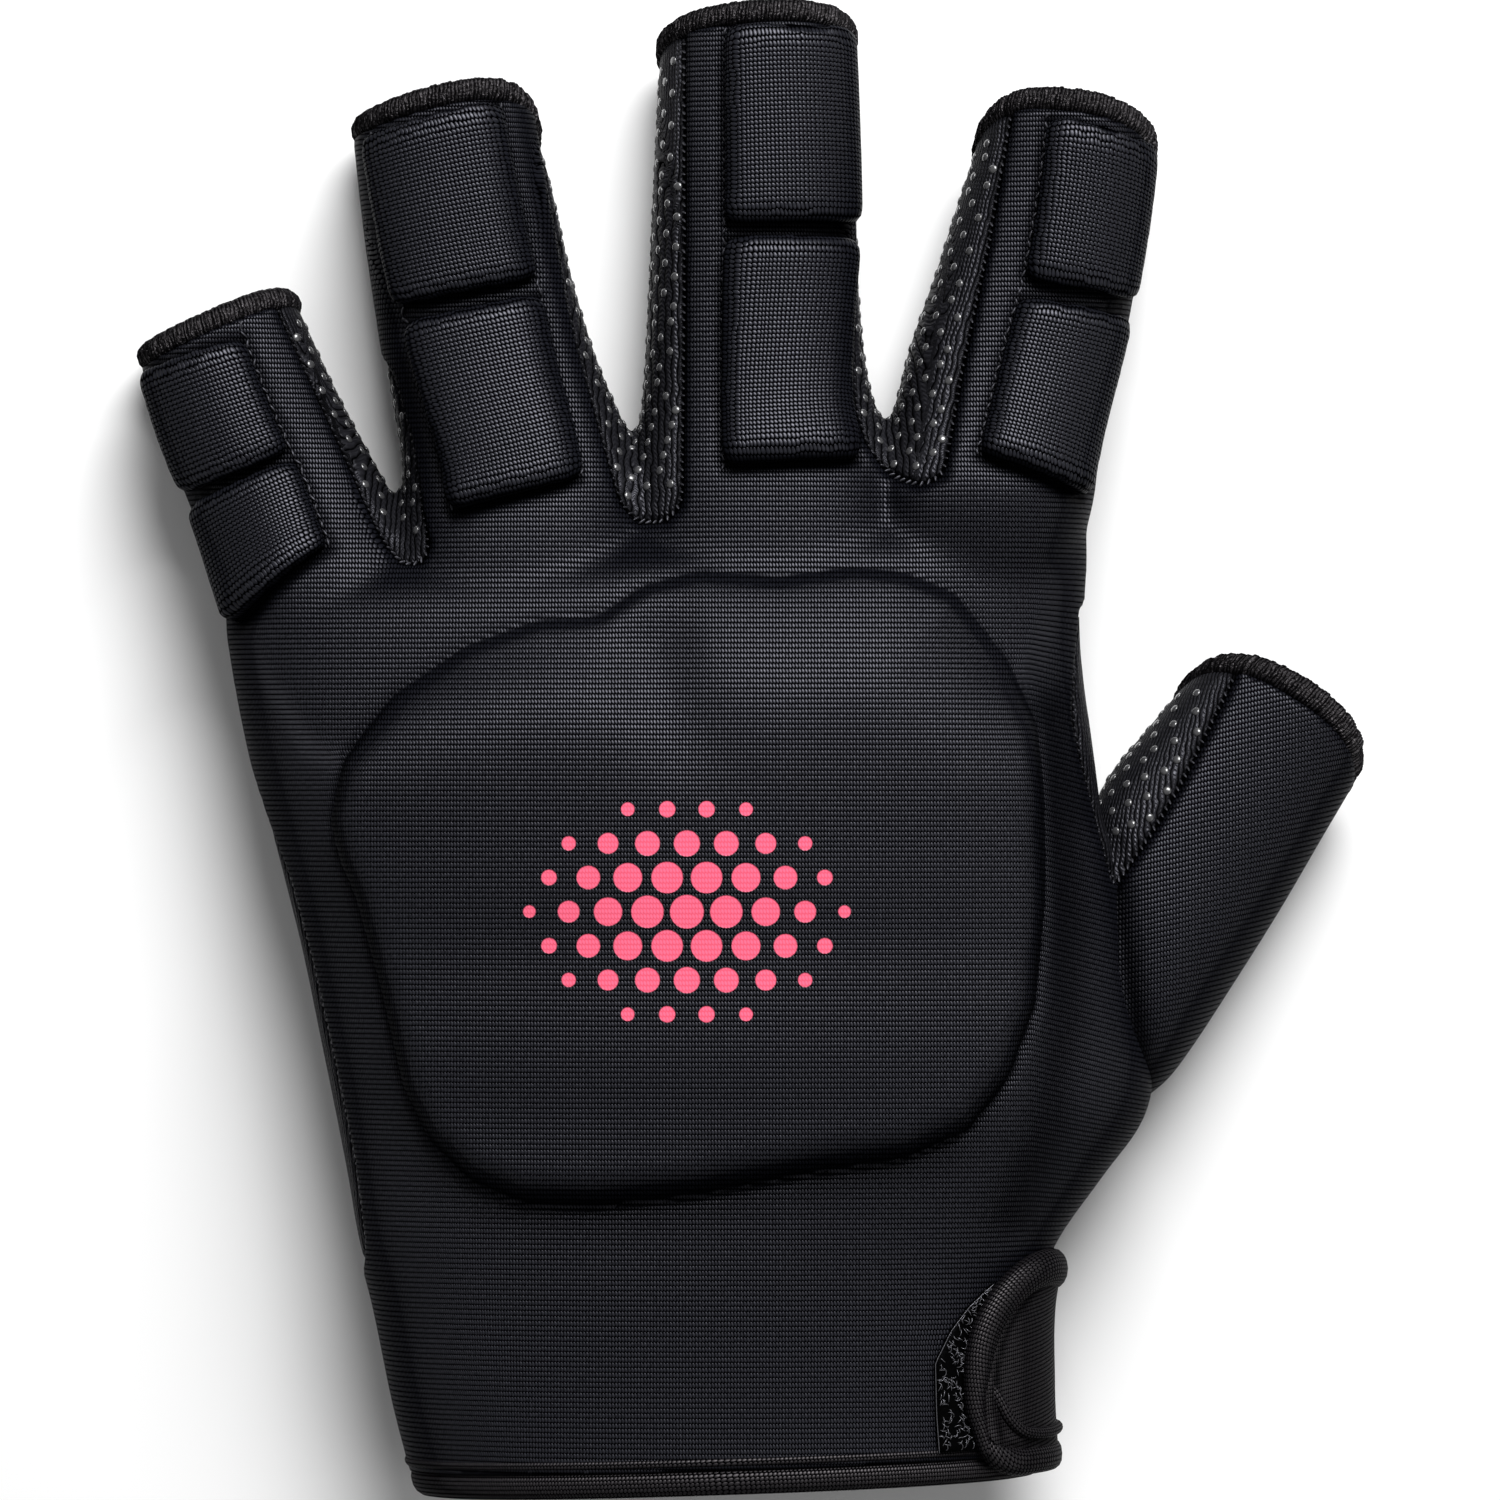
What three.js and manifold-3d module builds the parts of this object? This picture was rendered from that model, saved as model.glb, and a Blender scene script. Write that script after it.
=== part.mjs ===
// An open-finger field hockey glove for the left hand, lying palm down.
// Millimetres. +Z is up from the flat the glove lies on, +Y is along the fingers, +X towards the thumb.
// The origin is on that flat, under the middle of the palm.

import * as THREE from "three";
import { mergeVertices } from "three/addons/utils/BufferGeometryUtils.js";
import Module from "manifold-3d";

const wasm = await Module();
wasm.setup();

// Driving sizes
const WALL = 3; // knit-faced neoprene with its backing
const GAP = 0.3; // clearance between two pieces
const FINGER_PAD = 3.6; // height of a finger pad over the tube
const BACK_PAD = 5.5; // height of the back pad over the back of the hand
const EDGE_LENGTH = 2.7; // overlocked edge, along the finger
const EDGE_PROUD = 0.35; // how far that edge bulges over the tube
const HEM_LENGTH = 3.3; // hem, along the arm
const HEM_PROUD = 0.5;
const STRAP = 2.9; // strap thickness
const LOOP_PATCH = 1.2; // loop patch thickness
const STRAP_ROOM = STRAP + GAP; // the strap runs under the wrist, which lies this much higher
const OVERRUN = 6; // how far a hollow is cut past the end of its tube
const FINGER_REACH = 2; // how far the cutters along the finger seams reach out of the fabric
const PALM_REACH = 9; // and those along the sides of the hand

// Shape of a cross-section
const STEPS = 20; // facets round a section
const WIDEST = 0.42; // height of the widest place, as a share of the section's height
const ROUND = 2.3; // superellipse power over the widest place, 2 for an ellipse
const FLAT = 1.22; // how early the underside runs flat

// A form is a row of upright sections. Each one stands on the line from its left edge (lx, ly)
// to its right edge (rx, ry), seen from above, and is top high. Base lifts its underside, lean
// pushes its top out along the form. The seam columns are the angles at which the back fabric
// ends on the right and left flank: 0 is the right edge, 90 the top, 180 the left edge.
const COLUMNS = ["lx", "ly", "rx", "ry", "top", "base", "lean", "seamR", "seamL"];
const table = (rows) => rows.map((row) => Object.fromEntries(COLUMNS.map((name, i) => [name, row[i]])));

const PALM = table([
  // from the cuff to the knuckles
  [-44.1, -93.1, 36.9, -90.6, 34, STRAP_ROOM, 0, -25, 190],
  [-46.3, -84.5, 36.5, -82.6, 34, STRAP_ROOM, 0, -25, 185],
  [-49.0, -71.5, 36.8, -70.2, 34, STRAP_ROOM, 0, -25, 175],
  [-50.7, -63.1, 39.5, -63.1, 34, STRAP_ROOM, 0, -25, 165],
  [-52.1, -55.3, 45.0, -55.3, 34, 1.6, 0, -20, 165],
  [-53.8, -46.8, 51.0, -46.6, 34, 0, 0, -15, 165],
  [-55.4, -39.0, 50.4, -38.4, 34, 0, 0, -15, 165],
  [-58.1, -26.0, 48.6, -25.4, 33, 0, 0, -15, 165],
  [-60.7, -15.6, 46.7, -15.6, 33, 0, 0, -15, 172],
  [-64.7, 0.0, 43.7, 0.0, 32, 0, 0, -15, 190],
  [-67.1, 12.4, 42.9, 14.3, 30, 0, 0, -15, 195],
  [-67.6, 18.5, 43.3, 26.0, 27.5, 0, 0, -15, 195],
  [-66.0, 24.0, 43.0, 33.5, 20, 0, 0, -15, 195],
]);

// From the opening down into the hand
const FINGERS = {
  pinky: table([
    [-78.9, 49.7, -58.9, 56.9, 16, 0, 1.5, 50, 200],
    [-75.7, 39.7, -54.6, 48.1, 17, 0, 0.8, 50, 200],
    [-72.0, 30.6, -51.1, 41.3, 18, 0, 0, 50, 200],
    [-69.7, 24.1, -46.8, 33.5, 20, 0, 0, 52, 195],
    [-67.3, 16.9, -42.3, 24.7, 23, 0, 0, 50, 195],
    [-60.0, 3.0, -40.3, 9.0, 20, 0, 0, 50, 195],
  ]),
  ring: table([
    [-51.4, 78.7, -27.0, 79.0, 18, 0, 3.8, 42, 195],
    [-49.9, 67.6, -25.2, 70.4, 18.5, 0, 2, 42, 190],
    [-48.4, 57.2, -23.3, 61.8, 19, 0, 0.6, 42, 185],
    [-46.7, 46.2, -19.9, 50.7, 21, 0, 0, 42, 175],
    [-45.1, 35.1, -15.6, 40.3, 23.5, 0, 0, 45, 165],
    [-46.2, 24.7, -12.4, 29.9, 26, 0, 0, 45, 160],
    [-45.5, 10.0, -13.0, 14.0, 27, 0, 0, 45, 160],
  ]),
  middle: table([
    [-11.8, 89.7, 13.5, 91.7, 18, 0, 3.5, 25, 145],
    [-12.6, 74.1, 13.9, 76.0, 19, 0, 1, 25, 145],
    [-13.3, 58.5, 14.2, 59.8, 20, 0, 0, 25, 145],
    [-14.2, 44.2, 15.9, 46.2, 22, 0, 0, 30, 143],
    [-16.3, 33.8, 20.2, 36.4, 25, 0, 0, 38, 140],
    [-16.9, 15.0, 22.1, 17.0, 27.5, 0, 0, 38, 140],
  ]),
  index: table([
    [29.3, 77.4, 52.4, 76.1, 18, 0, 6.2, -15, 128],
    [27.0, 70.9, 50.8, 66.3, 18.5, 0, 3.5, -15, 126],
    [24.1, 61.8, 49.0, 56.6, 19.5, 0, 1.2, -15, 124],
    [20.9, 52.7, 47.3, 48.8, 21, 0, 0, -15, 124],
    [18.2, 42.3, 45.2, 39.7, 23.5, 0, 0, -15, 126],
    [15.3, 33.8, 43.9, 31.2, 26, 0, 0, -15, 127],
    [15.5, 12.0, 37.5, 12.0, 21, 0, 0, -15, 127],
  ]),
};

const THUMB = table([
  [56.0, 7.4, 77.3, -5.9, 17, 0, 6.5, -20, 120],
  [52.0, 2.9, 74.4, -10.8, 18, 0, 3, -20, 120],
  [46.3, -4.3, 68.5, -20.8, 19.5, 0, 0.8, -20, 120],
  [42.3, -14.3, 63.1, -29.3, 21, 0, 0, -20, 122],
  [39.0, -26.0, 56.7, -39.0, 22, 0, 0, -20, 124],
  [34.0, -37.7, 50.2, -47.6, 22, 0, 0, -20, 124],
  [28.0, -46.8, 41.0, -55.9, 21, 0, 0, -20, 124],
]);

// The grip knit reaches on to the back at the foot of each gap between two fingers.
// Each place is an ellipse seen from above, turned by tilt degrees.
const CROTCHES = [
  { x: -45.0, y: 28.9, across: 4.0, along: 6.0, tilt: 8 },
  { x: -13.2, y: 34.6, across: 4.2, along: 6.0, tilt: 4 },
  { x: 20.3, y: 38.0, across: 5.2, along: 5.8, tilt: -14 },
];

// Finger pads: place along the finger from the tube's end, on the right and left side of the
// pad, and the angles at which its right and left side lie.
const PADS = {
  pinky: {
    tip: { from: [0.6, 0.6], to: [16.5, 16.5], right: 56, left: 156 },
    base: { from: [18.5, 18.5], to: [27.5, 38], right: 56, left: 160 },
  },
  ring: {
    tip: { from: [0.4, 0.4], to: [21.5, 21.5], right: 52, left: 148 },
    base: { from: [24.5, 24.5], to: [48.5, 48.5], right: 52, left: 148 },
  },
  middle: {
    tip: { from: [0.4, 0.4], to: [24.5, 24.5], right: 26, left: 118 },
    base: { from: [27.0, 27.0], to: [54.5, 55.5], right: 28, left: 118 },
  },
  index: {
    tip: { from: [0.4, 0.4], to: [19.0, 20.5], right: 26, left: 106 },
    base: { from: [21.5, 23.0], to: [40.0, 42.0], right: 26, left: 110 },
  },
};

// Outline of the back pad seen from above, from its right side round by the knuckles
const BACK_PAD_OUTLINE = [
  [37.0, -19.5], [36.4, 2.6], [32.5, 11.7], [26.0, 20.0], [19.5, 22.5], [13.0, 23.0],
  [3.9, 21.8], [-6.5, 22.4], [-13.5, 20.6], [-19.5, 16.9], [-27.3, 16.3], [-36.4, 13.0],
  [-45.5, 6.5], [-51.4, -1.5], [-52.8, -9.0], [-49.4, -19.0], [-46.2, -31.0], [-43.4, -42.9],
  [-40.4, -49.4], [-35.1, -54.6], [-28.6, -57.2], [-19.5, -57.5], [-6.5, -56.0], [6.5, -53.4],
  [19.5, -51.4], [27.3, -48.1], [32.5, -41.6], [35.8, -32.5],
];
const BACK_PAD_MIDDLE = [-7, -16];

// Share of a pad's height at steps from its edge to its middle
const PILLOW = [
  { at: 0, rise: 0.35 },
  { at: 0.07, rise: 0.8 },
  { at: 0.2, rise: 1 },
  { at: 0.5, rise: 1.06 },
];
const DOME = [
  { at: 0, rise: 1 },
  { at: 0.55, rise: 1 },
  { at: 0.88, rise: 0.86 },
  { at: 0.97, rise: 0.55 },
  { at: 1, rise: 0.12 },
];

// Strap: angle round the wrist, place of its upper and lower side along the wrist from the cuff,
// and the height of its underside over the wrist, from the free end to the sewn end
const STRAP_TABLE = [
  { angle: 43, from: 9.5, to: 12.5, lift: 1.8 },
  { angle: 40, from: 3.5, to: 17.0, lift: 1.8 },
  { angle: 32, from: 0.4, to: 22.5, lift: 1.8 },
  { angle: 22, from: -3.0, to: 24.4, lift: 1.8 },
  { angle: 8, from: -3.4, to: 25.2, lift: 1.0 },
  { angle: -8, from: -3.4, to: 25.2, lift: 0.3 },
  { angle: -30, from: -3.4, to: 25.2, lift: 0.3 },
  { angle: -50, from: -3.4, to: 25.2, lift: 0.3 },
  { angle: -72, from: -3.4, to: 25.2, lift: 0.3 },
];
const LOOP = { right: 24, left: 51, from: 1.5, to: 25 };

// Sections and forms

const radians = (degrees) => (degrees * Math.PI) / 180;
const power = (value, exponent) => Math.sign(value) * Math.abs(value) ** exponent;

// The frame of a row: middle, direction across and direction along the form
function frameOf(row) {
  const across = new THREE.Vector2(row.rx - row.lx, row.ry - row.ly);
  const half = across.length() / 2;
  across.normalize();
  const middle = new THREE.Vector2((row.lx + row.rx) / 2, (row.ly + row.ry) / 2);
  return { across, half, middle, along: new THREE.Vector2(-across.y, across.x) };
}

// The point of a row's section at an angle, moved out by grow
function pointOn(row, degrees, grow = 0) {
  const { across, half, middle, along } = frameOf(row);
  const widest = row.base + WIDEST * (row.top - row.base);
  const cos = Math.cos(radians(degrees));
  const sin = Math.sin(radians(degrees));
  const side = (half + grow) * power(cos, 2 / ROUND);
  const climb = power(sin, 2 / ROUND);
  const z = climb > 0
    ? widest + (row.top + grow - widest) * climb
    : widest + (widest - row.base + grow) * Math.max(-1, FLAT * climb);
  const push = row.lean * ((z - widest) / (row.top - widest));
  return new THREE.Vector3(
    middle.x + side * across.x + push * along.x,
    middle.y + side * across.y + push * along.y,
    z,
  );
}

// The row a distance along a form, from its first row; before it the form runs straight on
function rowAt(rows, distance) {
  const middles = rows.map((row) => frameOf(row).middle);
  let i = 0;
  let left = distance;
  while (i < rows.length - 2 && left > middles[i].distanceTo(middles[i + 1])) {
    left -= middles[i].distanceTo(middles[i + 1]);
    i += 1;
  }
  const share = left / middles[i].distanceTo(middles[i + 1]);
  const mixed = COLUMNS.map((name) => [name, THREE.MathUtils.lerp(rows[i][name], rows[i + 1][name], share)]);
  return Object.fromEntries(mixed);
}

// Closed skin over equal rings of points, capped at both ends
function skin(rings) {
  const count = rings[0].length;
  const points = rings.flat();
  const faces = [];
  for (let i = 0; i + 1 < rings.length; i += 1) {
    for (let j = 0; j < count; j += 1) {
      const a = i * count + j;
      const b = i * count + ((j + 1) % count);
      faces.push([a, b, b + count], [a, b + count, a + count]);
    }
  }
  for (const [ring, flip] of [[0, true], [rings.length - 1, false]]) {
    const middle = points.length;
    const sum = rings[ring].reduce((total, point) => total.add(point), new THREE.Vector3());
    points.push(sum.divideScalar(count));
    for (let j = 0; j < count; j += 1) {
      const a = ring * count + j;
      const b = ring * count + ((j + 1) % count);
      faces.push(flip ? [middle, b, a] : [middle, a, b]);
    }
  }
  return solid(points, faces);
}

// Closed skin over rings that close on themselves, as a bent tube's do
function loopSkin(rings) {
  const count = rings[0].length;
  const faces = [];
  for (let i = 0; i < rings.length; i += 1) {
    const next = (i + 1) % rings.length;
    for (let j = 0; j < count; j += 1) {
      const k = (j + 1) % count;
      faces.push([i * count + j, i * count + k, next * count + k]);
      faces.push([i * count + j, next * count + k, next * count + j]);
    }
  }
  return solid(rings.flat(), faces);
}

// A solid from points and triangles, turned to face out
function solid(points, faces) {
  const volume = faces.reduce((total, [a, b, c]) => (
    total + points[a].dot(new THREE.Vector3().crossVectors(points[b], points[c]))
  ), 0);
  const turned = volume < 0 ? faces.map(([a, b, c]) => [a, c, b]) : faces;
  return new wasm.Manifold(new wasm.Mesh({
    numProp: 3,
    vertProperties: new Float32Array(points.flatMap((point) => [point.x, point.y, point.z])),
    triVerts: new Uint32Array(turned.flat()),
  }));
}

// A solid from a closed three.js geometry
function solidOfGeometry(geometry) {
  geometry.deleteAttribute("normal");
  geometry.deleteAttribute("uv");
  const merged = mergeVertices(geometry, 1e-4);
  return new wasm.Manifold(new wasm.Mesh({
    numProp: 3,
    vertProperties: merged.attributes.position.array,
    triVerts: new Uint32Array(merged.index.array),
  }));
}

const angles = Array.from({ length: STEPS }, (_, i) => (360 * i) / STEPS);

// A whole form, moved out by grow; runOn lengthens its first end
function form(rows, grow = 0, runOn = 0) {
  const all = runOn ? [rowAt(rows, -runOn), ...rows] : rows;
  return skin(all.map((row) => angles.map((degrees) => pointOn(row, degrees, grow))));
}

// The part of a form over its two seams: a fan from the middle of each section. A lower one
// cuts the palm fabric, which so keeps its gap to the back fabric.
const FAN_STEPS = 9;
function overSeams(rows, lower = false) {
  const drop = lower ? GAP : 0;
  const reach = rows === PALM ? PALM_REACH : FINGER_REACH;
  return skin([rowAt(rows, -1), ...rows].map((row) => {
    const { middle, half } = frameOf(row);
    const turn = (drop / Math.min(half, row.top / 2)) * (180 / Math.PI);
    const from = row.seamR - turn;
    const to = row.seamL + turn;
    const centre = new THREE.Vector3(middle.x, middle.y, WIDEST * row.top - 1.5 * drop);
    const rim = Array.from({ length: FAN_STEPS + 1 }, (_, i) => (
      pointOn(row, from + ((to - from) * i) / FAN_STEPS, reach)
    ));
    return [centre, ...rim];
  }));
}

// An upright prism over an ellipse, for the places between the fingers
function crotchPrism({ x, y, across, along, tilt }, grow) {
  const outline = new THREE.EllipseCurve(0, 0, across + grow, along + grow).getPoints(14).slice(0, -1);
  const geometry = new THREE.ExtrudeGeometry(new THREE.Shape(outline), { depth: 80, bevelEnabled: false });
  geometry.translate(0, 0, -20);
  geometry.rotateZ(radians(tilt));
  geometry.translate(x, y, 0);
  return solidOfGeometry(geometry);
}

const union = (solids) => solids.reduce((total, next) => total.add(next));

// The hand, hollow from the cuff to the finger openings

const fingerRows = Object.values(FINGERS);
const handRows = [PALM, ...fingerRows];

const handOuter = union(handRows.map((rows) => form(rows)));
const handOuterClear = union(handRows.map((rows) => form(rows, GAP, 1)));
const thumbOuter = form(THUMB);
const hollow = union([
  form(PALM.slice(0, -1), -WALL, OVERRUN),
  ...fingerRows.map((rows) => form(rows, -WALL, OVERRUN)),
  form(THUMB, -WALL, OVERRUN),
]);

const handFan = union(handRows.map((rows) => overSeams(rows)));
const handFanLower = union(handRows.map((rows) => overSeams(rows, true)));
const crotches = union(CROTCHES.map((place) => crotchPrism(place, GAP)));
const crotchesInner = union(CROTCHES.map((place) => crotchPrism(place, 0)));

const backPanel = handOuter.subtract(hollow).intersect(handFan.subtract(crotches));
const thumbBack = thumbOuter.subtract(hollow).subtract(handOuterClear).intersect(overSeams(THUMB));
const palmPanel = handOuter.add(thumbOuter).subtract(hollow)
  .subtract(handFanLower.intersect(handOuterClear).subtract(crotchesInner))
  .subtract(overSeams(THUMB, true).subtract(handOuter));

// Pads

function fingerPad(rows, pad) {
  const stations = [...PILLOW, ...PILLOW.slice(0, -1).reverse().map(({ at, rise }) => ({ at: 1 - at, rise }))];
  const rings = stations.map((station) => {
    const top = [];
    const bottom = [];
    for (const place of stations) {
      const degrees = THREE.MathUtils.lerp(pad.right, pad.left, place.at);
      const start = THREE.MathUtils.lerp(pad.from[0], pad.from[1], place.at);
      const end = THREE.MathUtils.lerp(pad.to[0], pad.to[1], place.at);
      const row = rowAt(rows, THREE.MathUtils.lerp(start, end, station.at));
      top.push(pointOn(row, degrees, GAP + FINGER_PAD * Math.min(station.rise, place.rise)));
      bottom.unshift(pointOn(row, degrees, -1));
    }
    return [...top, ...bottom];
  });
  return skin(rings).subtract(handOuterClear);
}

// Height of the palm form's top over a point seen from above
function palmTop(x, y) {
  let low = 0;
  let high = 140;
  for (let i = 0; i < 30; i += 1) {
    const at = (low + high) / 2;
    const { middle, along } = frameOf(rowAt(PALM, at));
    if ((x - middle.x) * along.x + (y - middle.y) * along.y > 0) low = at;
    else high = at;
  }
  const row = rowAt(PALM, low);
  const { middle, across, half } = frameOf(row);
  const share = Math.min(0.999, Math.abs((x - middle.x) * across.x + (y - middle.y) * across.y) / half);
  const widest = row.base + WIDEST * (row.top - row.base);
  return widest + (row.top - widest) * (1 - share ** ROUND) ** (1 / ROUND);
}

function backPadSolid() {
  const [mx, my] = BACK_PAD_MIDDLE;
  const ring = (share, lift) => BACK_PAD_OUTLINE.map(([x, y]) => {
    const px = mx + (x - mx) * share;
    const py = my + (y - my) * share;
    return new THREE.Vector3(px, py, palmTop(px, py) + lift);
  });
  const under = ring(1, -3).map((point) => point.setZ(Math.min(point.z, 18)));
  const rings = [under, ...[...DOME].reverse().slice(0, -1).map(({ at, rise }) => ring(at, GAP + BACK_PAD * rise))];
  return skin(rings).subtract(handOuterClear);
}

// Overlocked edge: a soft ring round the end of a tube
function edgeRing(rows) {
  const sides = 6;
  const row = rows[0];
  const { along } = frameOf(row);
  const rings = angles.map((degrees) => {
    const middle = pointOn(row, degrees, -WALL / 2);
    const out = pointOn(row, degrees, 0).sub(middle).normalize();
    middle.x += along.x * (GAP + EDGE_LENGTH / 2);
    middle.y += along.y * (GAP + EDGE_LENGTH / 2);
    return Array.from({ length: sides }, (_, i) => {
      const turn = (2 * Math.PI * (i + 0.5)) / sides;
      const reach = (WALL / 2 + EDGE_PROUD) * Math.cos(turn);
      const ahead = (EDGE_LENGTH / 2) * Math.sin(turn);
      const point = middle.clone().addScaledVector(out, reach);
      point.x += along.x * ahead;
      point.y += along.y * ahead;
      point.z = Math.max(point.z, 0);
      return point;
    });
  });
  return loopSkin(rings);
}

// Hem: a band round the cuff. Its block is the band without its hollow.
function hemBlock(grow, ahead) {
  const ends = [rowAt(PALM, ahead - GAP), rowAt(PALM, -GAP - HEM_LENGTH - ahead)];
  return skin(ends.map((row) => angles.map((degrees) => pointOn(row, degrees, grow))));
}
const hemBand = () => hemBlock(HEM_PROUD, 0).subtract(hemBlock(-WALL, 1));

// Strap: a band round the thumb side of the wrist, with a thick rim and a sunk middle
const STRAP_SIDES = [
  { at: 0, rise: 0.55 },
  { at: 0.06, rise: 1 },
  { at: 0.17, rise: 1 },
  { at: 0.24, rise: 0.62 },
  { at: 0.76, rise: 0.62 },
  { at: 0.83, rise: 1 },
  { at: 0.94, rise: 1 },
  { at: 1, rise: 0.55 },
];
function strapSolid() {
  const rings = STRAP_TABLE.map(({ angle, from, to, lift }, i) => {
    const top = [];
    const bottom = [];
    for (const { at, rise } of STRAP_SIDES) {
      const row = rowAt(PALM, THREE.MathUtils.lerp(from, to, at));
      const blunt = i === 0 ? 0.55 : Math.max(rise, 1 - 0.12 * i);
      top.push(pointOn(row, angle, lift + STRAP * blunt));
      bottom.unshift(pointOn(row, angle, -1));
    }
    return [...top, ...bottom];
  });
  return skin(rings).subtract(handOuterClear).subtract(hemBlock(HEM_PROUD + GAP, GAP))
    .subtract(loopPatchBlock(1.5 * GAP));
}

// Loop patch, grown on all sides but its underside
function loopPatchBlock(grow) {
  const count = 6;
  const middle = (LOOP.from + LOOP.to) / 2;
  const rings = [LOOP.from - grow, middle, LOOP.to + grow].map((distance) => {
    const row = rowAt(PALM, distance);
    const top = [];
    const bottom = [];
    for (let i = 0; i <= count; i += 1) {
      const degrees = THREE.MathUtils.lerp(LOOP.right - grow, LOOP.left + grow, i / count);
      top.push(pointOn(row, degrees, GAP + LOOP_PATCH + grow));
      bottom.unshift(pointOn(row, degrees, -1));
    }
    return [...top, ...bottom];
  });
  return skin(rings).subtract(handOuterClear);
}

// Materials

const cloth = (color, roughness) => () => new THREE.MeshStandardMaterial({ color, roughness, metalness: 0 });
const neoprene = cloth(0x1c1d21, 0.62);
const padKnit = cloth(0x202126, 0.58);
const gripKnit = cloth(0x151517, 0.5);
const edgeThread = cloth(0x101012, 0.7);
const strapKnit = cloth(0x18191c, 0.55);
const loopPile = cloth(0x0d0d0f, 0.8);

// The glove

const glove = new THREE.Group();

function place(name, body, material) {
  const { vertProperties, triVerts } = body.getMesh();
  const geometry = new THREE.BufferGeometry();
  geometry.setAttribute("position", new THREE.BufferAttribute(vertProperties, 3));
  geometry.setIndex(new THREE.BufferAttribute(triVerts, 1));
  geometry.computeVertexNormals();
  const mesh = new THREE.Mesh(geometry, material());
  mesh.name = name;
  glove.add(mesh);
}

place("back_panel", backPanel, neoprene);
place("thumb_back", thumbBack, neoprene);
place("palm_panel", palmPanel, gripKnit);
place("back_pad", backPadSolid(), padKnit);
for (const [finger, pads] of Object.entries(PADS)) {
  for (const [where, pad] of Object.entries(pads)) {
    place(`${finger}_pad_${where}`, fingerPad(FINGERS[finger], pad), padKnit);
  }
}
for (const [finger, rows] of Object.entries({ ...FINGERS, thumb: THUMB })) {
  place(`${finger}_edge`, edgeRing(rows), edgeThread);
}
place("cuff_hem", hemBand(), strapKnit);
place("wrist_strap", strapSolid(), strapKnit);
place("loop_patch", loopPatchBlock(0), loopPile);

export default glove;
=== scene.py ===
import math
import random

import bmesh
import bpy
import numpy as np
from mathutils import Matrix, Vector
from mathutils.bvhtree import BVHTree
from mathutils.kdtree import KDTree


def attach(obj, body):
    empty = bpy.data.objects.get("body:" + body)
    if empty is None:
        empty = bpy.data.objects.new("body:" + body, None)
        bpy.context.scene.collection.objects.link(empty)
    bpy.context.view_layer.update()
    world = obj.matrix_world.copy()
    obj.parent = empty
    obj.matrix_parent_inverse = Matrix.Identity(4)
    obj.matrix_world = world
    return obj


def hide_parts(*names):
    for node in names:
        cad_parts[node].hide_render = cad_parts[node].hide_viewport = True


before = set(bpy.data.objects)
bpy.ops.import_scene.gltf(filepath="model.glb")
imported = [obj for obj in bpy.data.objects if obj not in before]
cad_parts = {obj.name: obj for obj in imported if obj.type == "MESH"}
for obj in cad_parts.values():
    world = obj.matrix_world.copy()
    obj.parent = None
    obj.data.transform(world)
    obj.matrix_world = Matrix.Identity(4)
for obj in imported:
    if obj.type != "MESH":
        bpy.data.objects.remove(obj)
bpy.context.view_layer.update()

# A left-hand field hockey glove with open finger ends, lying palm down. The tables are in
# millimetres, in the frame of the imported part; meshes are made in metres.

MM = 0.001
WALL = 2.6  # fabric thickness
VOXEL = 0.8
SEGMENTS = 72  # round a section of a form
FORM_STEP = 2.0  # between two sections of a form's skin
RUN_ON = 4.0  # how far that skin runs past the form's open end, before it is cut
END_REACH = 8  # a form's end is cut this far past its sides

# Sections

# Rows as the solids have them, with the finger ends turned a little: left edge, right edge, top
# height, height of the underside, how far the top leans out along the form, and how much more
# so to the right than to the left.
COLUMNS = ("lx", "ly", "rx", "ry", "top", "base", "lean", "skew")


def table(rows):
    """Rows with named columns; the skew may be left out."""
    return [dict(zip(COLUMNS, (*row, 0)[:len(COLUMNS)])) for row in rows]


PALM = table([
    (-43.6, -93.0, 36.9, -90.5, 34, 3.2, 0),
    (-45.8, -84.5, 36.5, -82.6, 34, 3.2, 0),
    (-48.5, -71.5, 36.8, -70.2, 34, 3.2, 0),
    (-50.7, -63.1, 39.5, -63.1, 34, 3.2, 0),
    (-52.1, -55.3, 45.0, -55.3, 34, 1.6, 0),
    (-53.8, -46.8, 51.0, -46.6, 34, 0, 0),
    (-55.4, -39.0, 50.4, -38.4, 34, 0, 0),
    (-58.1, -26.0, 48.6, -25.4, 33, 0, 0),
    (-60.7, -15.6, 46.7, -15.6, 33, 0, 0),
    (-64.7, 0.0, 44.6, 0.0, 32, 0, 0),
    (-67.1, 12.4, 42.9, 14.3, 30, 0, 0),
    (-67.6, 18.5, 43.3, 26.0, 27.5, 0, 0),
    (-66.0, 24.0, 43.0, 33.5, 20, 0, 0),
])
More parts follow.
